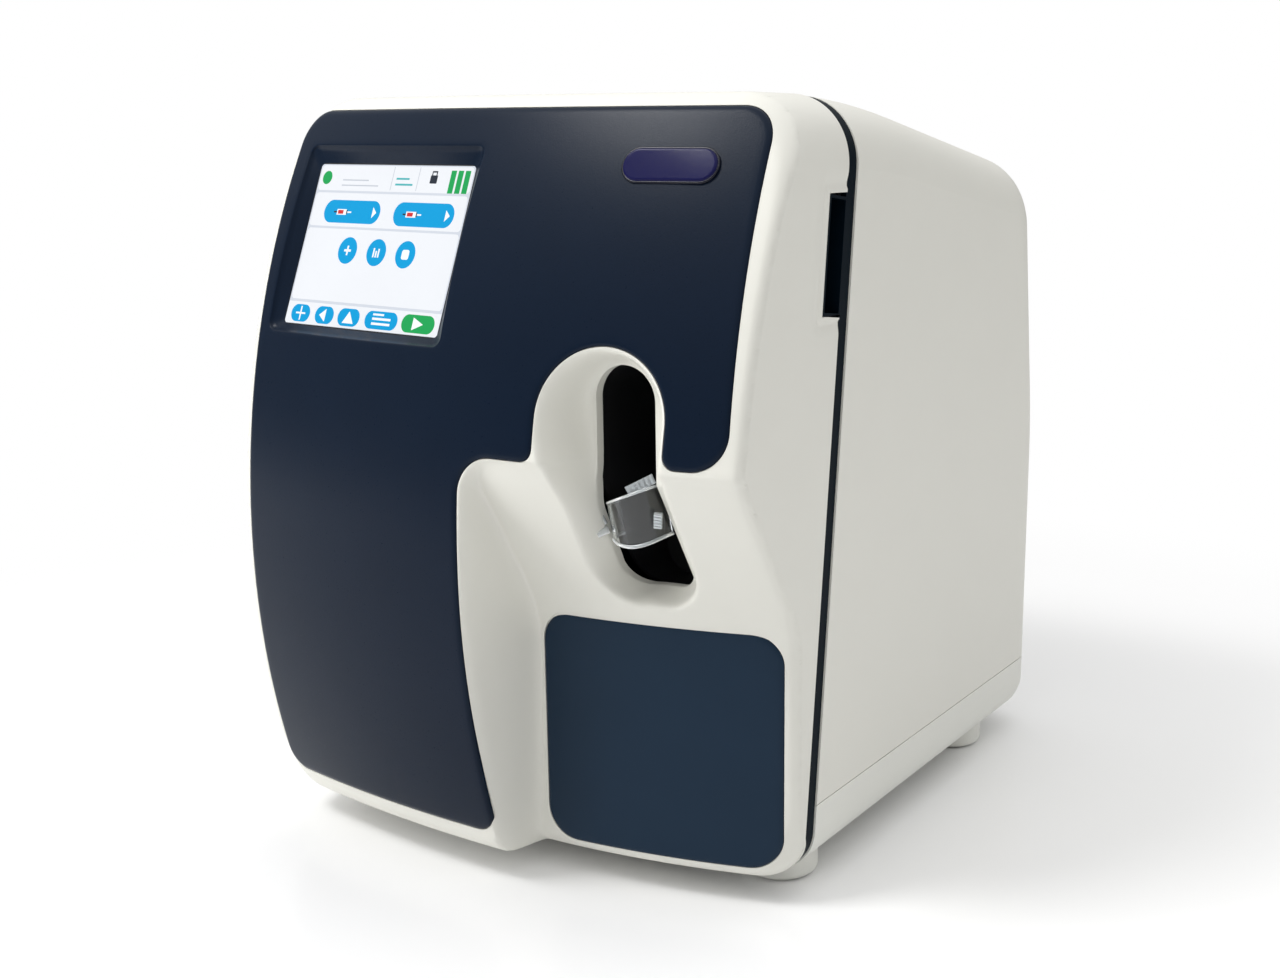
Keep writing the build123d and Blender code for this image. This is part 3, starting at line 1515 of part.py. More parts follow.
screw_x = rear_opening_width / 2 - screw_inset
for side, name in ((-1, "rear_screw_left"), (1, "rear_screw_right")):
    with BuildPart() as screw_head:
        with BuildSketch(panel_outer):
            with Locations((side * screw_x, rear_opening_top - screw_inset)):
                Circle(screw_head_radius)
        extrude(amount=-screw_head_height)
        fillet(faces().sort_by(Axis.Y)[-1].edges(), screw_head_round)
    keep(screw_head.part, name)

# ================================================================ boards and power supply
with BuildPart() as main_board:
    with BuildSketch(Plane.XY.offset(board_height)):
        with Locations(board_middle):
            Rectangle(board_right - board_left, board_rear - board_front)
    extrude(amount=board_thickness)
keep(main_board.part, "main_board")

with BuildPart() as processor_sink:
    with BuildSketch(Plane.XY.offset(board_height + board_thickness)):
        with Locations((sink_x, sink_y)):
            Rectangle(sink_size, sink_size)
    extrude(amount=sink_base)
    with BuildSketch(Plane.XY.offset(board_height + board_thickness + sink_base)):
        with Locations((sink_x, sink_y)):
            with GridLocations(sink_fin_pitch, 0, 6, 1):
                Rectangle(sink_fin_width, sink_size)
    extrude(amount=sink_fin_height)
keep(processor_sink.part, "processor_heat_sink")

with BuildPart() as power_supply:
    with BuildSketch(Plane.XY.offset(tray_floor)):
        with Locations((supply_left, supply_front)):
            Rectangle(supply_width, supply_length, align=(Align.MIN, Align.MIN))
    extrude(amount=supply_height)
    fillet(edges().filter_by(Axis.Z), 2)
keep(power_supply.part, "power_supply")
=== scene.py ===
import json
import math

import bpy
import numpy as np
from mathutils import Matrix, Vector
from mathutils.geometry import delaunay_2d_cdt


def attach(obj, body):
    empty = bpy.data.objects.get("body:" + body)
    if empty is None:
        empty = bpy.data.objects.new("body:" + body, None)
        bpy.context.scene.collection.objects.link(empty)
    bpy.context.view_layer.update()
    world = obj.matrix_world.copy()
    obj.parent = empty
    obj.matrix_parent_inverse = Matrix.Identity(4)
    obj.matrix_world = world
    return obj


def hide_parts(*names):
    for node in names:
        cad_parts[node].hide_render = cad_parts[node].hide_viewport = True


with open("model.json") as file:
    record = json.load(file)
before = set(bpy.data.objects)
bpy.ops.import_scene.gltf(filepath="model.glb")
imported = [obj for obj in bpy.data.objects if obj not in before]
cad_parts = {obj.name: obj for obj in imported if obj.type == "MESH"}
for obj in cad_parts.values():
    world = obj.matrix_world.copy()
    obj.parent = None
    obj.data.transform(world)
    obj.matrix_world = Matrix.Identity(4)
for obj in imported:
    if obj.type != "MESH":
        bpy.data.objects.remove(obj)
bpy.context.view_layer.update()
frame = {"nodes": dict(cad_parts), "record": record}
NODES = frame["nodes"]
MM = 0.001

# ------------------------------------------------------------------ sizes in millimetres, as in the CAD
HALF = 152.5
TOP = 388.0
LOW = 13.2
TOP_R = 34.0
FOOT_R = 22.0
FRONT = -193.0
BOW = 767.0
BELLY = 451.0
BELLY_Z = 157.0
SEAM_FOOT = FRONT + 85.1
TILT = math.radians(6.58)
DOOR_BACK = -9.1
UNDER_FACE = FRONT + 45.3
UNDER_BOW = 450.0
UNDER_TURN = 140.0
UNDER_TOP = 222.0
UNDER_SIDE = 10.0
UNDER_R = 18.0
ARCH_X = 82.0
ARCH_Z = 243.5
ARCH_R = 31.5
ARCH_FLOOR = FRONT + 35.0
DISH_R = 22.0
DISH_Z = 172.0
DISH_TURN = 213.0
DISH_WIDER = 9.5
SLOT_R = 16.5
SLOT_TOP = 267.0
SLOT_LOW = 157.0
SLOT_FOOT_LEFT = 14.0
SLOT_FOOT_RIGHT = 6.0
RIM_FALL = 0.45
LIP_SINK = 2.6
LIP_REACH = 6.0
PROUD = 0.9
SCREEN_X = -72.5
SCREEN_Z = 317.5
VIEW_W = 115.2
VIEW_H = 86.4
SINK = 8.5
FLARE = 0.72
SKIN = 3.2
GRIP_LOW = 287.0
GRIP_TOP = 343.0
GRIP_REACH = 17.0
BADGE_X = 97.0
BADGE_Z = 355.5
BADGE_W = 47.0
BADGE_H = 16.0


# ------------------------------------------------------------------ surfaces of the door front
def seam_y(z, shift=0.0):
    return SEAM_FOOT + shift + z * math.tan(TILT)


def belly(x, z, inset=0.0):
    out = FRONT + BELLY - np.sqrt((BELLY - inset) ** 2 - (z - BELLY_Z) ** 2)
    axis = FRONT + BOW
    return axis - np.sqrt((axis - out) ** 2 - x ** 2)


def soft_min(a, b, k):
    h = np.clip(0.5 + 0.5 * (b - a) / k, 0.0, 1.0)
    return b * (1 - h) + a * h - k * h * (1 - h)


def soft_max(a, b, k):
    return -soft_min(-a, -b, k)


def step(t):
    t = np.clip(t, 0.0, 1.0)
    return t * t * (3 - 2 * t)


def under_face(x):
    return UNDER_FACE + UNDER_BOW - np.sqrt(UNDER_BOW ** 2 - x ** 2)


def cream(x, z):
    """Depth of the cream surface: belly, undercut, arch hollow and dish, softly blended."""
    by = belly(x, z)
    across = x - UNDER_SIDE
    down = UNDER_TOP - z
    inside = np.where(
        (across < UNDER_R) & (down < UNDER_R),
        UNDER_R - np.hypot(UNDER_R - across, UNDER_R - down),
        np.minimum(across, down),
    )
    base = under_face(x)
    slope = base + (z - UNDER_TURN) / (UNDER_TOP - UNDER_TURN) * (belly(x, UNDER_TOP) - base)
    deep = soft_min(base, slope, 9.0)
    under = soft_min(by + 5.2 * inside, deep, 12.0)
    g = soft_max(by, under, 9.0)
    width = DISH_R + (ARCH_R - DISH_R) * step((z - 196.0) / 42.0)
    extra = DISH_WIDER * (ARCH_R - width) / (ARCH_R - DISH_R)
    aside = np.where(x > ARCH_X, np.maximum(x - ARCH_X - extra, 0.0), ARCH_X - x)
    inside = np.where(
        z > ARCH_Z,
        ARCH_R - np.hypot(x - ARCH_X, z - ARCH_Z),
        np.where(z < DISH_Z, DISH_R - np.hypot(aside, z - DISH_Z), width - aside),
    )
    floor = ARCH_FLOOR + 0.6 * np.maximum(DISH_TURN - z, 0.0)
    hollow = soft_min(g + 2.7 * inside, floor, 8.0)
    return soft_max(g, hollow, 4.0)


# ------------------------------------------------------------------ outlines
def rounded_path(corners, spacing=1.6):
    """Closed outline from (x, z, radius) corners, as evenly spaced points going round."""
    points = []
    n = len(corners)
    for i in range(n):
        p = np.array(corners[i - 1][:2], float)
        c = np.array(corners[i][:2], float)
        q = np.array(corners[(i + 1) % n][:2], float)
        r = corners[i][2]
        if r <= 0:
            points.append(c)
            continue
        a = (p - c) / np.linalg.norm(p - c)
        b = (q - c) / np.linalg.norm(q - c)
        half = math.acos(max(-1.0, min(1.0, float(a @ b)))) / 2
        reach = r / math.tan(half)
        start = c + a * reach
        centre = c + (a + b) / np.linalg.norm(a + b) * (r / math.sin(half))
        v0 = start - centre
        v1 = c + b * reach - centre
        a0 = math.atan2(v0[1], v0[0])
        turn = math.atan2(v1[1], v1[0]) - a0
        turn = (turn + math.pi) % (2 * math.pi) - math.pi
        count = max(3, int(abs(turn) * r / spacing) + 1)
        for k in range(count + 1):
            t = a0 + turn * k / count
            points.append(centre + r * np.array([math.cos(t), math.sin(t)]))
    out = []
    for i in range(len(points)):
        p, q = points[i], points[(i + 1) % len(points)]
        gap = float(np.linalg.norm(q - p))
        if gap < 1e-6:
            continue
        pieces = max(1, int(round(gap / spacing)))
        for k in range(pieces):
            out.append(p + (q - p) * k / pieces)
    return np.array(out)


def grown(loop, amount):
    """A closed outline moved outwards by amount. Outlines run anticlockwise."""
    ahead = np.roll(loop, -1, 0) - loop
    behind = loop - np.roll(loop, 1, 0)
    t = ahead / np.linalg.norm(ahead, axis=1)[:, None] + behind / np.linalg.norm(behind, axis=1)[:, None]
    t /= np.linalg.norm(t, axis=1)[:, None]
    return loop + np.stack([t[:, 1], -t[:, 0]], 1) * amount


def anticlockwise(loop):
    nxt = np.roll(loop, -1, 0)
    area = float(np.sum(loop[:, 0] * nxt[:, 1] - nxt[:, 0] * loop[:, 1]))
    return loop if area > 0 else loop[::-1].copy()


def inside_of(points, loop):
    x, z = points[:, 0], points[:, 1]
    odd = np.zeros(len(points), bool)
    for p, q in zip(loop, np.roll(loop, -1, 0)):
        if p[1] == q[1]:
            continue
        crosses = (p[1] > z) != (q[1] > z)
        odd ^= crosses & (x < (q[0] - p[0]) * (z - p[1]) / (q[1] - p[1]) + p[0])
    return odd


def near_loop(points, loop, reach):
    close = np.zeros(len(points), bool)
    for start in range(0, len(loop), 40):
        part = loop[start:start + 40]
        gap = np.min(np.hypot(points[:, None, 0] - part[None, :, 0], points[:, None, 1] - part[None, :, 1]), 1)
        close |= gap < reach
    return close


def case_corners(inset=0.0):
    h = HALF - inset
    return [
        (-h, LOW + inset, FOOT_R - inset),
        (h, LOW + inset, FOOT_R - inset),
        (h, TOP - inset, TOP_R - inset),
        (-h, TOP - inset, TOP_R - inset),
    ]


def arch_points():
    r = ARCH_R + 2.0
    turns = np.linspace(0, math.pi, 60)
    return [(ARCH_X + r * math.cos(t), ARCH_Z + r * math.sin(t), 0) for t in turns]


PANEL = anticlockwise(rounded_path(
    [(-146.5, 28.0, 12), (10.0, 28.0, 12), (7.0, 223.0, 18), (48.5, 223.0, 6)]
    + arch_points()[::-1]
    + [(115.5, 225.5, 6), (146.0, 225.5, 17), (140.5, 381.5, 17), (-146.5, 381.5, 17)]
))
LOWER = anticlockwise(rounded_path([(22.5, 20.5, 17), (146.0, 20.5, 17), (146.0, 141.0, 17), (22.5, 141.0, 17)]))
SLOT = anticlockwise(rounded_path(
    [(ARCH_X - SLOT_R, SLOT_LOW, SLOT_FOOT_LEFT), (ARCH_X + SLOT_R, SLOT_LOW, SLOT_FOOT_RIGHT),
     (ARCH_X + SLOT_R, SLOT_TOP, SLOT_R - 0.01), (ARCH_X - SLOT_R, SLOT_TOP, SLOT_R - 0.01)],
    1.0,
))
CASE = anticlockwise(rounded_path(case_corners()))
for height in (GRIP_LOW, GRIP_TOP):
    side_gap = np.abs(CASE[:, 1] - height) + 100.0 * (CASE[:, 0] < HALF - 0.01)
    CASE[int(np.argmin(side_gap)), 1] = height


# ------------------------------------------------------------------ mesh helpers
def mesh_piece(name, verts, faces, body, look, smooth=40.0):
    """A mesh from points in millimetres. It rides on a body and takes the finish it is given."""
    mesh = bpy.data.meshes.new(name)
    mesh.from_pydata([tuple(v) for v in np.asarray(verts, float) * MM], [], faces)
    mesh.validate()
    mesh.update()
    obj = bpy.data.objects.new(name, mesh)
    bpy.context.scene.collection.objects.link(obj)
    mesh.materials.append(look)
    mesh.shade_smooth()
    if smooth:
        mesh.set_sharp_from_angle(angle=math.radians(smooth))
    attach(obj, body)
    return obj


def sheet(loops, points, holes):
    """Triangles over loops[0], with every loop kept as edges and the holes left open."""
    coords = []
    edges = []
    for loop in loops:
        first = len(coords)
        coords += [tuple(p) for p in loop]
        edges += [(first + i, first + (i + 1) % len(loop)) for i in range(len(loop))]
    coords += [tuple(p) for p in points]
    out = delaunay_2d_cdt([Vector(c) for c in coords], edges, [], 0, 1e-5)
    flat = np.array([(v.x, v.y) for v in out[0]])
    tris = np.array([f for f in out[2]])
    middle = flat[tris].mean(1)
    keep = inside_of(middle, loops[0])
    for hole in holes:
        keep &= ~inside_of(middle, hole)
    tris = tris[keep]
    used = np.unique(tris)
    remap = -np.ones(len(flat), int)
    remap[used] = np.arange(len(used))
    tris = remap[tris]
    flat = flat[used]
    a, b, c = flat[tris[:, 0]], flat[tris[:, 1]], flat[tris[:, 2]]
    area = (b[:, 0] - a[:, 0]) * (c[:, 1] - a[:, 1]) - (c[:, 0] - a[:, 0]) * (b[:, 1] - a[:, 1])
    tris[area < 0] = tris[area < 0][:, ::-1]
    return flat, tris


def match(flat, loop):
    """Indices of the sheet's points that lie on a loop."""
    found = []
    for p in loop:
        d = (flat[:, 0] - p[0]) ** 2 + (flat[:, 1] - p[1]) ** 2
        found.append(int(np.argmin(d)))
    return found


def strip(ring_a, ring_b):
    """Quads between two closed rings of the same length, as index lists."""
    n = len(ring_a)
    return [(ring_a[i], ring_a[(i + 1) % n], ring_b[(i + 1) % n], ring_b[i]) for i in range(n)]


def add_ring(verts, ring):
    first = len(verts)
    verts.extend([tuple(p) for p in ring])
    return list(range(first, len(verts)))


def roll(radius, inset):
    """How far a rounded edge falls away at a distance in from its outline."""
    left = np.clip(radius - inset, 0.0, radius)
    return radius - np.sqrt(np.maximum(radius ** 2 - left ** 2, 0.0))


# ------------------------------------------------------------------ materials
def linear(rgb):
    return [((c / 255 + 0.055) / 1.055) ** 2.4 if c > 10 else c / 255 / 12.92 for c in rgb]


def look(name, rgb, rough, grain=0.8, bump=0.05, vary=0.04, metal=0.0, coat=0.0, through=0.0,
         rough_vary=0.06, ior=1.45, glow=0.0, shine=0.5):
    """A procedural finish: slow and fine colour change, uneven roughness and a fine grain, in metres."""
    mat = bpy.data.materials.new(name)
    mat.use_nodes = True
    nt = mat.node_tree
    bsdf = nt.nodes["Principled BSDF"]
    place = nt.nodes.new("ShaderNodeTexCoord")
    slow = nt.nodes.new("ShaderNodeTexNoise")
    slow.inputs["Scale"].default_value = 28.0
    slow.inputs["Detail"].default_value = 4.0
    fine = nt.nodes.new("ShaderNodeTexNoise")
    fine.inputs["Scale"].default_value = 1000.0 / grain
    fine.inputs["Detail"].default_value = 2.0
    nt.links.new(place.outputs["Object"], slow.inputs["Vector"])
    nt.links.new(place.outputs["Object"], fine.inputs["Vector"])
    base = linear(rgb)
    mix = nt.nodes.new("ShaderNodeMix")
    mix.data_type = "RGBA"
    mix.inputs["A"].default_value = [c * (1 - vary) for c in base] + [1]
    mix.inputs["B"].default_value = [min(1, c * (1 + vary)) for c in base] + [1]
    nt.links.new(slow.outputs["Fac"], mix.inputs["Factor"])
    nt.links.new(mix.outputs["Result"], bsdf.inputs["Base Color"])
    span = nt.nodes.new("ShaderNodeMapRange")
    span.inputs["To Min"].default_value = max(0.0, rough - rough_vary)
    span.inputs["To Max"].default_value = min(1.0, rough + rough_vary)
    nt.links.new(fine.outputs["Fac"], span.inputs["Value"])
    nt.links.new(span.outputs["Result"], bsdf.inputs["Roughness"])
    dent = nt.nodes.new("ShaderNodeBump")
    dent.inputs["Strength"].default_value = 1.0
    dent.inputs["Distance"].default_value = bump * MM
    nt.links.new(fine.outputs["Fac"], dent.inputs["Height"])
    nt.links.new(dent.outputs["Normal"], bsdf.inputs["Normal"])
    bsdf.inputs["Metallic"].default_value = metal
    bsdf.inputs["Coat Weight"].default_value = coat
    bsdf.inputs["Coat Roughness"].default_value = 0.08
    bsdf.inputs["Transmission Weight"].default_value = through
    bsdf.inputs["IOR"].default_value = ior
    bsdf.inputs["Specular IOR Level"].default_value = shine
    if glow:
        nt.links.new(mix.outputs["Result"], bsdf.inputs["Emission Color"])
        bsdf.inputs["Emission Strength"].default_value = glow
    return mat


CREAM = look("cream_shell", (226, 225, 217), 0.42, grain=0.55, bump=0.006, vary=0.012)
PALE = look("pale_base", (228, 228, 221), 0.42, grain=0.55, bump=0.006, vary=0.012)
NAVY = look("navy_panel_grain", (12, 25, 42), 0.30, grain=0.75, bump=0.035, vary=0.08, shine=0.14)
LOWER_NAVY = look("navy_lower_panel", (26, 44, 62), 0.40, grain=0.6, bump=0.012, vary=0.06, shine=0.15)
BAND = look("navy_band", (6, 18, 27), 0.42, grain=0.6, bump=0.012, vary=0.05, shine=0.05)
BADGE = look("badge_blue", (22, 22, 68), 0.10, grain=1.5, bump=0.002, vary=0.06, shine=0.15)
RIM = look("badge_rim", (12, 15, 30), 0.16, grain=0.5, bump=0.002, vary=0.03, shine=0.35)
BLACK = look("black_plastic", (20, 20, 22), 0.45, grain=0.5, bump=0.012, vary=0.10)
GLASS = look("screen_glass", (14, 15, 18), 0.08, grain=3.0, bump=0.0, vary=0.1, rough_vary=0.02, coat=0.5)
CLEAR = look("clear_guard", (240, 244, 246), 0.05, grain=2.0, bump=0.003, vary=0.01, through=1.0,
             rough_vary=0.03, ior=1.49)
FROSTED = look("clear_guard_edges", (236, 241, 244), 0.18, grain=1.0, bump=0.004, vary=0.02, through=0.65,
               rough_vary=0.05, ior=1.49)
GREY = look("grey_plastic", (150, 152, 152), 0.48, grain=0.6, bump=0.012, vary=0.05)
WHITE = look("white_plastic", (222, 222, 218), 0.45, grain=0.6, bump=0.010, vary=0.02)
RUBBER = look("foot_rubber", (34, 34, 36), 0.75, grain=0.4, bump=0.03, vary=0.12)
STEEL = look("sheet_steel", (160, 162, 164), 0.34, grain=0.5, bump=0.006, metal=1.0, vary=0.06)
BRIGHT = look("bright_steel", (200, 202, 206), 0.16, grain=0.5, bump=0.002, metal=1.0, vary=0.04)
ALLOY = look("satin_alloy", (185, 187, 190), 0.30, grain=0.6, bump=0.006, metal=1.0, vary=0.05)
BOARD = look("circuit_board", (16, 92, 52), 0.42, grain=0.5, bump=0.008, vary=0.12)
TUBE = look("silicone_tube", (212, 206, 186), 0.40, grain=0.8, bump=0.006, vary=0.05, through=0.35)

SLOT_LOOKS = {
    "cream_plastic": CREAM, "base_plastic": PALE, "navy_plastic": NAVY, "lower_navy": LOWER_NAVY,
    "band_plastic": BAND, "badge_plastic": BADGE, "screen_glass": GLASS, "dark_plastic": BLACK,
    "clear_plastic": CLEAR, "grey_plastic": GREY, "white_plastic": WHITE, "foot_rubber": RUBBER,
    "steel": STEEL, "bright_steel": BRIGHT, "alloy": ALLOY, "board_green": BOARD, "tube_clear": TUBE,
}
for part in frame["record"]["subparts"]:
    node = NODES[part["node"]]
    node.data.materials.clear()
    node.data.materials.append(SLOT_LOOKS[part["material_slot"]])
    node.data.shade_smooth()
    node.data.set_sharp_from_angle(angle=math.radians(28))


# ------------------------------------------------------------------ screen's place
def screen_point(a, b, out):
    yaw = math.asin(SCREEN_X / BOW)
    lean = math.asin((SCREEN_Z - BELLY_Z) / BELLY)
    origin = np.array([SCREEN_X, float(belly(SCREEN_X, SCREEN_Z, -PROUD)), SCREEN_Z])
    normal = np.array([
        math.sin(yaw) * math.cos(lean), -math.cos(yaw) * math.cos(lean), math.sin(lean)])
    right = np.array([math.cos(yaw), math.sin(yaw), 0.0])
    up = np.cross(normal, right)
    return origin + a * right + b * up + out * normal


def rounded_box(w, h, r, spacing=1.2):
    return anticlockwise(rounded_path([(-w, -h, r), (w, -h, r), (w, h, r), (-w, h, r)], spacing))


def seen_from_front(loop):
    """An outline on the screen's plane, as x and z."""
    return np.array([[p[0], p[2]] for p in (screen_point(a, b, 0.0) for a, b in loop)])


mouth = rounded_box(VIEW_W / 2 + FLARE * SINK, VIEW_H / 2 + FLARE * SINK, 4.5)


# ------------------------------------------------------------------ door frame
def case_inset(points):
    """Distance in from the case outline."""
    x = np.abs(points[:, 0])
    z = points[:, 1]
    side = HALF - x
    up = TOP - z
    down = z - LOW
    d = np.minimum(side, np.minimum(up, down))
    corner = (side < TOP_R) & (up < TOP_R)
    d = np.where(corner, TOP_R - np.hypot(TOP_R - side, TOP_R - up), d)
    corner = (side < FOOT_R) & (down < FOOT_R)
    return np.where(corner, FOOT_R - np.hypot(FOOT_R - side, FOOT_R - down), d)


def edge_radius(z):
    return 4.5 + 3.5 * step((z - 330.0) / 40.0) + 5.5 * step((50.0 - z) / 25.0)


def grid(x_lines, z_lines):
    xx, zz = np.meshgrid(x_lines, z_lines)
    return np.stack([xx.ravel(), zz.ravel()], 1)


def jitterless(points, loops, reach):
    for loop in loops:
        points = points[~near_loop(points, loop, reach)]
    return points


rings = [anticlockwise(rounded_path(case_corners(d), 1.8)) for d in (0.12, 0.45, 1.0, 1.8, 2.9, 4.3, 6.2, 8.4, 10.8)]
groove_loops = [grown(PANEL, 0.35), grown(PANEL, 0.28), grown(LOWER, 0.35), grown(LOWER, 0.28)]
slot_rims = [grown(SLOT, 0.9), grown(SLOT, 0.3)]
fine_x = np.concatenate([np.arange(3.0, 22.0, 0.6), np.arange(22.6, 148.0, 1.3)])
fine_z = np.concatenate([np.arange(15.0, 140.0, 2.6), np.arange(140.0, 284.0, 1.3)])
coarse = grid(np.arange(-148, 149, 4.0), np.arange(16, 386, 4.0))
coarse = coarse[~((coarse[:, 0] > 1.0) & (coarse[:, 1] < 287))]
points = np.concatenate([coarse, grid(fine_x, fine_z)])
points = points[case_inset(points) > 11.8]
screen_hole = seen_from_front(grown(mouth, 1.0))
points = points[~inside_of(points, screen_hole)]
points = jitterless(points, groove_loops[::2] + slot_rims[:1] + [SLOT, screen_hole], 0.75)
ring_points = np.concatenate(rings)
ring_points = jitterless(ring_points, groove_loops, 0.5)
loops = [CASE] + groove_loops + slot_rims + [SLOT, screen_hole]
flat, tris = sheet(loops, np.concatenate([points, ring_points]), [SLOT, screen_hole])
depth = cream(flat[:, 0], flat[:, 1]) + roll(edge_radius(flat[:, 1]), case_inset(flat))
covered = inside_of(flat, grown(PANEL, 0.3)) | inside_of(flat, grown(LOWER, 0.3))
depth = depth + 1.2 * covered
verts = [(p[0], d, p[1]) for p, d in zip(flat, depth)]
faces = [tuple(int(i) for i in t) for t in tris]
outline = match(flat, CASE)
slot_ring = match(flat, SLOT)
case_xy = flat[outline]
inner_xy = grown(case_xy, -SKIN)
grip_front = DOOR_BACK - GRIP_REACH
front_y = np.array([verts[i][1] for i in outline])
side_z = case_xy[:, 1]
rear_y = seam_y(side_z, DOOR_BACK)
on_side = case_xy[:, 0] > HALF - 0.01
past_grip = np.maximum(np.maximum(GRIP_LOW - side_z, side_z - GRIP_TOP), 0.0)
at_grip = on_side & (past_grip < 0.01)
by_grip = on_side * (1 - step((past_grip - 12.0) / 18.0))


def grip_dent(ahead):
    """A shallow valley around the grip's notch, which leaves a flat rim beside the notch."""
    gap = np.hypot(np.maximum(ahead, 0.0), past_grip)
    return 0.8 * on_side * step((gap - 2.0) / 1.3) * (1 - step((gap - 3.6) / 6.0))


side_rings = [outline]
ahead_steps = (13.0, 9.5, 6.5, 4.6, 3.4, 2.6, 1.9, 0.0)
for k, ahead in enumerate(ahead_steps):
    share = 0.5 + 0.4 * k / (len(ahead_steps) - 1)
    plain_y = front_y + (rear_y - front_y) * share
    y = plain_y + by_grip * (seam_y(side_z, grip_front - ahead) - plain_y)
    x = case_xy[:, 0] - grip_dent(ahead + 0 * side_z)
    side_rings.append(add_ring(verts, zip(x, y, side_z)))
ring_g = side_rings[-1]
ring_r = add_ring(verts, zip(case_xy[:, 0] - grip_dent(0 * side_z), rear_y, side_z))
ring_i = add_ring(verts, [(p[0], seam_y(p[1], DOOR_BACK), p[1]) for p in inner_xy])
inner_y = np.array([verts[i][1] for i in ring_g])
ring_d = add_ring(verts, [(p[0], y, p[1]) for p, y in zip(inner_xy, inner_y)])
for near, far in zip(side_rings[1:], side_rings[:-1]):
    faces += strip(near, far)
for near, far in ((ring_r, ring_g), (ring_i, ring_r), (ring_d, ring_i)):
    for i, face in enumerate(strip(near, far)):
        if not (at_grip[i] and at_grip[(i + 1) % len(at_grip)]):
            faces.append(face)
grip_places = [i for i in range(len(at_grip)) if at_grip[i]]
lip = add_ring(verts, [(HALF - LIP_SINK, verts[ring_g[i]][1] + LIP_REACH, side_z[i]) for i in grip_places])
for n, (i, k) in enumerate(zip(grip_places[:-1], grip_places[1:])):
    faces.append((ring_g[i], ring_g[k], lip[n + 1], lip[n]))
    faces.append((lip[n], lip[n + 1], ring_d[k], ring_d[i]))
for i in (grip_places[0], grip_places[-1]):
    faces.append((ring_g[i], ring_r[i], ring_i[i], ring_d[i]))
slot_xy = flat[slot_ring]
back_a = add_ring(verts, [(p[0], verts[i][1] + 1.0, p[1]) for p, i in zip(slot_xy, slot_ring)])
back_b = add_ring(verts, [(p[0], verts[i][1] + 5.0, p[1]) for p, i in zip(slot_xy, slot_ring)])
faces += strip(slot_ring, back_a)
faces += strip(back_a, back_b)
door = mesh_piece("door_shell", verts, faces, "door", CREAM, 55)
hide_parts("door_frame")


# ------------------------------------------------------------------ navy panels
def panel_mesh(loop, surface, holes, spacing, bevel, drop):
    """Points and faces of a panel with a rolled rim. Its edge goes back by drop."""
    insets = [0.0, bevel * 0.08, bevel * 0.3, bevel * 0.62, bevel]
    inner = [grown(loop, -d) for d in insets[1:]]
    low, high = loop.min(0), loop.max(0)
    pts = grid(np.arange(low[0] + spacing, high[0], spacing), np.arange(low[1] + spacing, high[1], spacing))
    pts = pts[inside_of(pts, inner[-1])]
    pts = jitterless(pts, [inner[-1]], spacing * 0.35)
    for hole in holes:
        pts = pts[~inside_of(pts, hole)]
        pts = jitterless(pts, [hole], spacing * 0.35)
    f, t = sheet([loop] + inner + list(holes), pts, holes)
    y = surface(f[:, 0], f[:, 1])
    for ring, d in zip([loop] + inner, insets):
        for i in match(f, ring):
            y[i] = surface(f[i, 0], f[i, 1]) + RIM_FALL * float(roll(bevel, d))
    v = [(p[0], q, p[1]) for p, q in zip(f, y)]
    fc = [tuple(int(i) for i in tri) for tri in t]
    edge = match(f, loop)
    low_ring = add_ring(v, [(f[i, 0], v[i][1] + drop, f[i, 1]) for i in edge])
    fc += strip(low_ring, edge)
    return v, fc, f


def panel_skin(x, z):
    return belly(x, z, -PROUD)


def lower_skin(x, z):
    return under_face(x) - PROUD


hole = seen_from_front(grown(mouth, 1.3))
verts, faces, flat = panel_mesh(PANEL, panel_skin, [hole], 3.0, 2.6, 1.6)
ring_prev = match(flat, hole)
profile = [(0.6, -0.12), (0.2, -0.42), (0.0, -0.9)]
shrink = np.array([VIEW_W / (VIEW_W + 2 * FLARE * SINK), VIEW_H / (VIEW_H + 2 * FLARE * SINK)])
inner_box = mouth * shrink


def seat(a, b, out):
    """A point of the surround: out is measured from the panel's own bellied surface near the mouth."""
    p = screen_point(a, b, 0.0)
    q = np.array([p[0], float(belly(p[0], p[2], -PROUD)), p[2]])
    n = screen_point(0, 0, 1.0) - screen_point(0, 0, 0.0)
    return q + n * out


for out, sink in profile:
    ring = add_ring(verts, [seat(a, b, sink) for a, b in grown(mouth, out)])
    faces += strip(ring_prev, ring)
    ring_prev = ring
for share in (0.35, 0.7, 1.0):
    ring = []
    for (a, b), (c, d) in zip(mouth, inner_box):
        start = seat(a, b, -0.9)
        end = screen_point(c, d, -SINK + 0.05)
        ring.append(start + (end - start) * share)
    ring = add_ring(verts, ring)
    faces += strip(ring_prev, ring)
    ring_prev = ring
front = mesh_piece("front_panel_shell", verts, faces, "door", NAVY, 50)
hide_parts("front_panel")

verts, faces, flat = panel_mesh(LOWER, lower_skin, [], 5.0, 2.6, 1.6)
lower = mesh_piece("lower_panel_shell", verts, faces, "door", LOWER_NAVY, 50)
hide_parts("lower_panel")


# ------------------------------------------------------------------ picture on the screen
def disc(a, b, r, count=40):
    return [(a + r * math.cos(t), b + r * math.sin(t)) for t in np.linspace(0, 2 * math.pi, count, False)]


def bar(a0, b0, a1, b1):
    return [(a0, b0), (a1, b0), (a1, b1), (a0, b1)]


def soft_bar(a0, b0, a1, b1, r):
    box = rounded_box((a1 - a0) / 2, (b1 - b0) / 2, min(r, (a1 - a0) / 2 - 0.01, (b1 - b0) / 2 - 0.01), 0.5)
    return [(p[0] + (a0 + a1) / 2, p[1] + (b0 + b1) / 2) for p in box]


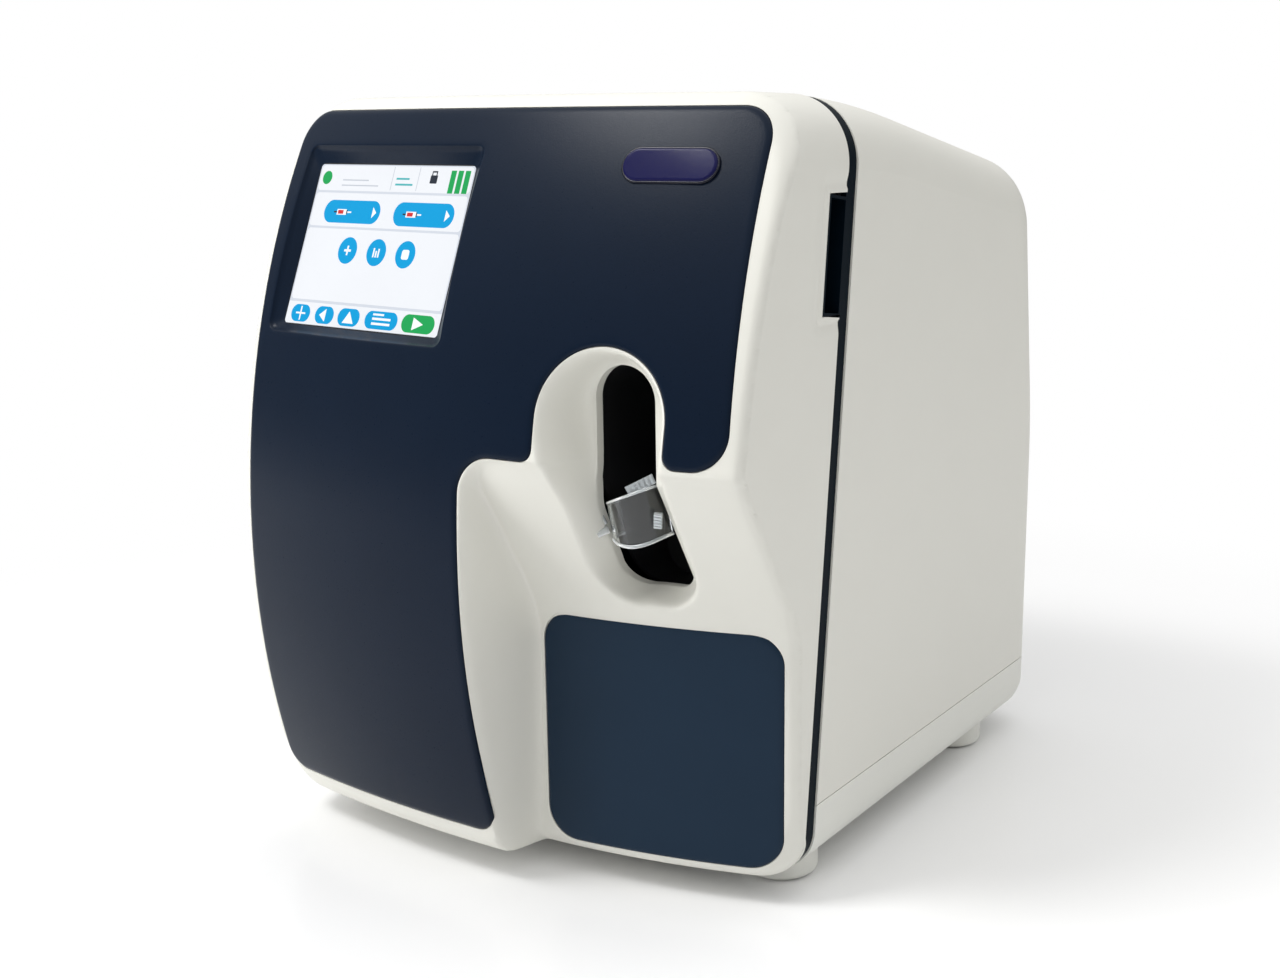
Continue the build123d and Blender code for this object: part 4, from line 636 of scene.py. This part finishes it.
def picture(name, shapes, rgb, level, glow=2.7):
    """Flat coloured areas on the screen glass, lit from behind."""
    points, areas = [], []
    for shape in shapes:
        areas.append(tuple(range(len(points), len(points) + len(shape))))
        points += [screen_point(a, b, level - SINK) for a, b in shape]
    dimmed = [c * 0.56 for c in rgb]
    finish = look("screen_" + name, dimmed, 0.25, grain=0.9, bump=0.0, vary=0.02, rough_vary=0.02, glow=glow, shine=0.2)
    mesh_piece("screen_" + name, points, areas, "door", finish, 0)


W2, H2 = VIEW_W / 2, VIEW_H / 2
picture("base", [bar(-W2 + 0.6, -H2 + 0.6, W2 - 0.6, H2 - 0.6)], (205, 211, 221), 0.03)
picture("white", [
    soft_bar(-W2 + 1.4, 28.6, W2 - 1.4, H2 - 1.2, 2.2), soft_bar(-W2 + 1.4, 9.6, W2 - 1.4, 27.4, 2.2),
    soft_bar(-W2 + 1.4, -29.6, W2 - 1.4, 8.4, 2.2), bar(-W2 + 0.8, -H2 + 0.8, W2 - 0.8, -31.0),
], (232, 235, 240), 0.04)
picture("grey", [
    bar(-0.7, 29.4, -0.3, H2 - 1.6), bar(18.1, 29.4, 18.5, H2 - 1.6),
    bar(-38.0, 31.2, -10.0, 31.8), bar(-38.0, 34.0, -18.0, 34.6),
], (186, 192, 202), 0.05)
picture("teal", [bar(2.4, 32.0, 15.0, 33.0), bar(2.4, 35.0, 12.0, 36.0)],
        (70, 175, 180), 0.05)
picture("blue", [
    soft_bar(-46.6, 11.5, -3.8, 23.6, 6.0), soft_bar(6.4, 11.2, 49.5, 23.5, 6.0),
    disc(-21.4, -2.7, 7.0), disc(0.4, -2.9, 7.0), disc(21.8, -3.1, 7.0),
    soft_bar(-53.2, -41.5, -38.6, -32.4, 4.5), soft_bar(-34.4, -41.5, -20.1, -32.4, 4.5),
    soft_bar(-16.8, -41.5, -0.4, -32.4, 4.5), soft_bar(3.7, -41.5, 27.5, -32.4, 4.5),
], (0, 152, 214), 0.06)
picture("green", [
    soft_bar(30.6, -41.5, 53.7, -32.4, 4.5), disc(-50.5, 35.4, 3.6),
    bar(40.8, 28.6, 44.4, 40.2), bar(45.7, 28.6, 49.3, 40.2), bar(50.6, 28.6, 54.2, 40.2),
], (22, 158, 78), 0.07)
picture("dark", [
    soft_bar(26.9, 33.4, 31.9, 37.6, 0.5), bar(27.5, 37.6, 28.2, 39.2), bar(30.6, 37.6, 31.3, 39.2),
    bar(27.5, 39.0, 31.3, 39.8), bar(13.0, 16.9, 15.4, 17.7), bar(22.6, 16.2, 23.4, 18.4),
    bar(-39.0, 16.9, -36.6, 17.7), bar(-29.4, 16.2, -28.6, 18.4),
], (34, 40, 52), 0.08)
picture("marks", [
    [(-9.6, 14.6), (-6.6, 17.5), (-9.6, 20.4)], [(43.4, 14.4), (46.6, 17.3), (43.4, 20.2)],
    bar(15.4, 15.8, 22.6, 18.8), bar(23.4, 16.9, 26.4, 17.7),
    bar(-36.6, 15.8, -29.4, 18.8), bar(-28.6, 16.9, -25.6, 17.7),
    bar(-49.6, -37.4, -42.2, -36.5), bar(-46.4, -40.6, -45.4, -33.3),
    [(-31.2, -37.0), (-26.4, -33.6), (-26.4, -40.4)], [(-12.8, -40.0), (-4.4, -40.0), (-8.6, -33.8)],
    bar(9.0, -39.4, 22.4, -38.2), bar(9.0, -36.9, 22.4, -35.7), bar(9.0, -34.6, 17.0, -33.6),
    [(38.4, -40.2), (45.8, -37.0), (38.4, -33.8)],
    bar(-23.9, -3.3, -18.9, -2.1), bar(-22.0, -5.2, -20.8, -0.2),
    bar(-2.0, -5.4, -0.9, -0.6), bar(-0.2, -5.4, 0.9, -2.0), bar(1.6, -5.4, 2.7, -0.9),
    soft_bar(19.2, -5.6, 24.4, -0.6, 1.2),
], (244, 246, 250), 0.09)
picture("red", [bar(16.2, 16.3, 20.4, 18.3), bar(-35.8, 16.3, -31.6, 18.3)], (206, 40, 40), 0.10)


# ------------------------------------------------------------------ badge's bright rim
def badge_point(a, b, out):
    yaw = math.asin(BADGE_X / BOW)
    lean = math.asin((BADGE_Z - BELLY_Z) / BELLY)
    origin = np.array([BADGE_X, float(belly(BADGE_X, BADGE_Z, -PROUD)), BADGE_Z])
    normal = np.array([
        math.sin(yaw) * math.cos(lean), -math.cos(yaw) * math.cos(lean), math.sin(lean)])
    right = np.array([math.cos(yaw), math.sin(yaw), 0.0])
    return origin + a * right + b * np.cross(normal, right) + out * normal


badge_loop = rounded_box(BADGE_W / 2, BADGE_H / 2, BADGE_H / 2 - 0.01, 0.9)
verts, faces, previous = [], [], None
for out, rise in ((0.9, -0.4), (0.9, 0.35), (0.7, 0.6), (0.2, 0.75), (-0.3, 0.6), (-0.5, 0.2), (-0.5, -0.4)):
    ring = add_ring(verts, [badge_point(a, b, rise) for a, b in grown(badge_loop, out)])
    if previous:
        faces += strip(previous, ring)
    else:
        first_ring = ring
    previous = ring
faces += strip(previous, first_ring)
mesh_piece("badge_rim", verts, faces, "door", RIM, 60)


# ------------------------------------------------------------------ clear guard in front of the slot
GUARD_R = 15.0
GUARD_WALL = 1.3
GUARD_TURN = math.radians(100)
GUARD_HIGH = (-150.0, 206.0)
GUARD_DOWN = (-143.5, 182.0)


def guard_point(turn, share, radius):
    """A point of the bulged shield: turn runs round it from left to right, share from its foot to its top."""
    high = GUARD_HIGH[1] + 6.0 * math.sin(turn)
    down = GUARD_DOWN[1] + 5.0 * max(math.sin(turn), 0.0) ** 2 + 1.5 * min(math.sin(turn), 0.0) ** 2
    z = down + (high - down) * share
    lean = (z - GUARD_DOWN[1]) / (GUARD_HIGH[1] - GUARD_DOWN[1])
    axis = GUARD_DOWN[0] + (GUARD_HIGH[0] - GUARD_DOWN[0]) * lean
    return (ARCH_X + radius * math.sin(turn), axis - radius * math.cos(turn), z)


turns = np.linspace(-GUARD_TURN, GUARD_TURN, 49)
verts, faces = [], []
rows = []
for radius in (GUARD_R, GUARD_R - GUARD_WALL):
    for share in np.linspace(0.0, 1.0, 9):
        rows.append(add_ring(verts, [guard_point(t, share, radius) for t in turns]))
for row, above in zip(rows[:8], rows[1:9]):
    faces += [(row[i], row[i + 1], above[i + 1], above[i]) for i in range(48)]
for row, above in zip(rows[9:17], rows[10:18]):
    faces += [(row[i + 1], row[i], above[i], above[i + 1]) for i in range(48)]
faces += [(rows[9][i], rows[9][i + 1], rows[0][i + 1], rows[0][i]) for i in range(48)]
faces += [(rows[8][i], rows[8][i + 1], rows[17][i + 1], rows[17][i]) for i in range(48)]
for k in range(8):
    faces.append((rows[k][0], rows[k + 1][0], rows[k + 10][0], rows[k + 9][0]))
    faces.append((rows[k + 1][48], rows[k][48], rows[k + 9][48], rows[k + 10][48]))
guard = mesh_piece("guard_shield", verts, faces, "door", CLEAR, 50)
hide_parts("sampler_guard")


def bead(name, path, radius, look):
    """A round bead along an open line of points."""
    verts, faces, previous = [], [], None
    path = [np.array(p, float) for p in path]
    for i, p in enumerate(path):
        along = path[min(i + 1, len(path) - 1)] - path[max(i - 1, 0)]
        along /= np.linalg.norm(along)
        side = np.cross(along, (0.0, 0.3, 1.0))
        side /= np.linalg.norm(side)
        up = np.cross(side, along)
        spokes = np.linspace(0, 2 * math.pi, 10, False)
        ring = add_ring(verts, [p + radius * (math.cos(t) * side + math.sin(t) * up) for t in spokes])
        if previous:
            faces += strip(previous, ring)
        previous = ring
    faces += [tuple(range(10))[::-1], tuple(previous)]
    mesh_piece(name, verts, faces, "door", look, 60)


bead("guard_low_rim", [guard_point(t, 0.0, GUARD_R - 0.3) for t in turns], 1.0, FROSTED)
bead("guard_top_rim", [guard_point(t, 1.0, GUARD_R - 0.4) for t in turns], 0.7, FROSTED)


def ribbed_tab(name, start, end, width, ribs):
    """A small tab between two points, with ribs across it."""
    start, end = np.array(start, float), np.array(end, float)
    along = (end - start) / np.linalg.norm(end - start)
    out = np.array([0.35, -0.90, 0.0])
    across = np.cross(along, out)
    across /= np.linalg.norm(across)
    out = np.cross(across, along)
    verts, faces = [], []

    def block(centre, long, wide, thick):
        corners = [(-1, -1, -1), (1, -1, -1), (1, 1, -1), (-1, 1, -1), (-1, -1, 1), (1, -1, 1), (1, 1, 1), (-1, 1, 1)]
        k = add_ring(verts, [
            centre + along * a * long / 2 + across * b * wide / 2 + out * c * thick / 2 for a, b, c in corners])
        for quad in ((0, 3, 2, 1), (4, 5, 6, 7), (0, 1, 5, 4), (1, 2, 6, 5), (2, 3, 7, 6), (3, 0, 4, 7)):
            faces.append(tuple(k[i] for i in quad))

    length = float(np.linalg.norm(end - start))
    block((start + end) / 2, length, width, 1.4)
    for i in range(ribs):
        block(start + along * length * (i + 0.5) / ribs + out * 1.1, length / ribs * 0.5, width, 1.0)
    mesh_piece(name, verts, faces, "door", FROSTED, 30)


ribbed_tab("guard_top_tab", (85.5, -163.0, 209.5), (95.5, -155.5, 215.5), 4.6, 6)
ribbed_tab("guard_low_tab", (96.8, -154.5, 192.0), (98.0, -156.0, 199.5), 3.8, 5)
bead("guard_knob", [(66.8 - 0.6 * k, -152.0 - 0.5 * k, 187.0 - 0.3 * k) for k in range(8)], 2.0, FROSTED)
bead("guard_lever", [(66.0 - 0.3 * k, -153.0 - 0.35 * k, 190.0 + 0.9 * k) for k in range(7)], 0.9, FROSTED)


# ------------------------------------------------------------------ floor, light, camera
def floor_look():
    """White and faintly glossy near the object, and plain white light farther out."""
    mat = bpy.data.materials.new("floor_white")
    mat.use_nodes = True
    nt = mat.node_tree
    bsdf = nt.nodes["Principled BSDF"]
    bsdf.inputs["Base Color"].default_value = (0.95, 0.95, 0.95, 1)
    bsdf.inputs["Roughness"].default_value = 0.20
    bsdf.inputs["Specular IOR Level"].default_value = 0.30
    place = nt.nodes.new("ShaderNodeTexCoord")
    reach = nt.nodes.new("ShaderNodeVectorMath")
    reach.operation = "LENGTH"
    fade = nt.nodes.new("ShaderNodeMapRange")
    fade.interpolation_type = "SMOOTHSTEP"
    fade.inputs["From Min"].default_value = 0.30
    fade.inputs["From Max"].default_value = 0.75
    glow = nt.nodes.new("ShaderNodeEmission")
    glow.inputs["Color"].default_value = (1, 1, 1, 1)
    glow.inputs["Strength"].default_value = 1.0
    mixer = nt.nodes.new("ShaderNodeMixShader")
    nt.links.new(place.outputs["Object"], reach.inputs[0])
    nt.links.new(reach.outputs["Value"], fade.inputs["Value"])
    path = nt.nodes.new("ShaderNodeLightPath")
    seen = nt.nodes.new("ShaderNodeMath")
    seen.operation = "MULTIPLY"
    nt.links.new(fade.outputs["Result"], seen.inputs[0])
    nt.links.new(path.outputs["Is Camera Ray"], seen.inputs[1])
    nt.links.new(seen.outputs["Value"], mixer.inputs["Fac"])
    nt.links.new(bsdf.outputs["BSDF"], mixer.inputs[1])
    nt.links.new(glow.outputs["Emission"], mixer.inputs[2])
    nt.links.new(mixer.outputs["Shader"], nt.nodes["Material Output"].inputs["Surface"])
    return mat


bpy.ops.mesh.primitive_plane_add(size=12.0, location=(0, 0, 0))
floor = bpy.context.object
floor.name = "studio_floor"
floor.data.materials.append(floor_look())

world = bpy.data.worlds.new("studio")
bpy.context.scene.world = world
world.use_nodes = True
wt = world.node_tree
for node in list(wt.nodes):
    wt.nodes.remove(node)
out = wt.nodes.new("ShaderNodeOutputWorld")
path = wt.nodes.new("ShaderNodeLightPath")
white = wt.nodes.new("ShaderNodeBackground")
white.inputs["Color"].default_value = (1, 1, 1, 1)
white.inputs["Strength"].default_value = 1.0
ambient = wt.nodes.new("ShaderNodeBackground")
ambient.inputs["Color"].default_value = (1, 1, 1, 1)
sky = wt.nodes.new("ShaderNodeTexCoord")
parts = wt.nodes.new("ShaderNodeSeparateXYZ")
rise = wt.nodes.new("ShaderNodeMapRange")
rise.interpolation_type = "SMOOTHSTEP"
rise.inputs["From Min"].default_value = -0.05
rise.inputs["From Max"].default_value = 0.75
rise.inputs["To Min"].default_value = 0.16
rise.inputs["To Max"].default_value = 0.90
wt.links.new(sky.outputs["Generated"], parts.inputs["Vector"])
wt.links.new(parts.outputs["Z"], rise.inputs["Value"])
wt.links.new(rise.outputs["Result"], ambient.inputs["Strength"])
mixer = wt.nodes.new("ShaderNodeMixShader")
wt.links.new(path.outputs["Is Camera Ray"], mixer.inputs["Fac"])
wt.links.new(ambient.outputs["Background"], mixer.inputs[1])
wt.links.new(white.outputs["Background"], mixer.inputs[2])
wt.links.new(mixer.outputs["Shader"], out.inputs["Surface"])


def area_light(name, place, target, size, size_y, power, color=(1, 1, 1)):
    data = bpy.data.lights.new(name, "AREA")
    data.shape = "RECTANGLE"
    data.size = size
    data.size_y = size_y
    data.energy = power
    data.color = color
    obj = bpy.data.objects.new(name, data)
    obj.location = place
    obj.rotation_euler = (Vector(target) - Vector(place)).to_track_quat("-Z", "Y").to_euler()
    bpy.context.scene.collection.objects.link(obj)
    return obj


area_light("overhead_soft", (0.1, 0.15, 1.7), (0, 0, 0.2), 1.8, 1.6, 5)
area_light("right_soft", (1.9, 0.4, 0.9), (0.1, 0, 0.2), 1.2, 1.2, 1.5)
area_light("left_front_soft", (-0.70, -1.00, 1.90), (0, -0.1, 0.25), 0.6, 0.5, 18)
low_light = area_light("low_left_soft", (-1.5, -1.2, 0.35), (0, -0.1, 0.15), 0.9, 0.5, 14)
low_light.visible_glossy = False

cam_data = bpy.data.cameras.new("camera")
cam = bpy.data.objects.new("camera", cam_data)
bpy.context.scene.collection.objects.link(cam)
cam_data.sensor_fit = "HORIZONTAL"
cam_data.sensor_width = 36.0
cam_data.lens = 44.735
cam_data.shift_x = -0.08998
cam_data.shift_y = -0.0017
cam_data.clip_start = 0.05
cam_data.clip_end = 30.0
cam.location = (0.50118, -0.74169, 0.366776)
cam.rotation_euler = (math.radians(90 - 12.316), 0, math.radians(30.966))
bpy.context.scene.camera = cam
bpy.context.scene.view_settings.view_transform = "Standard"
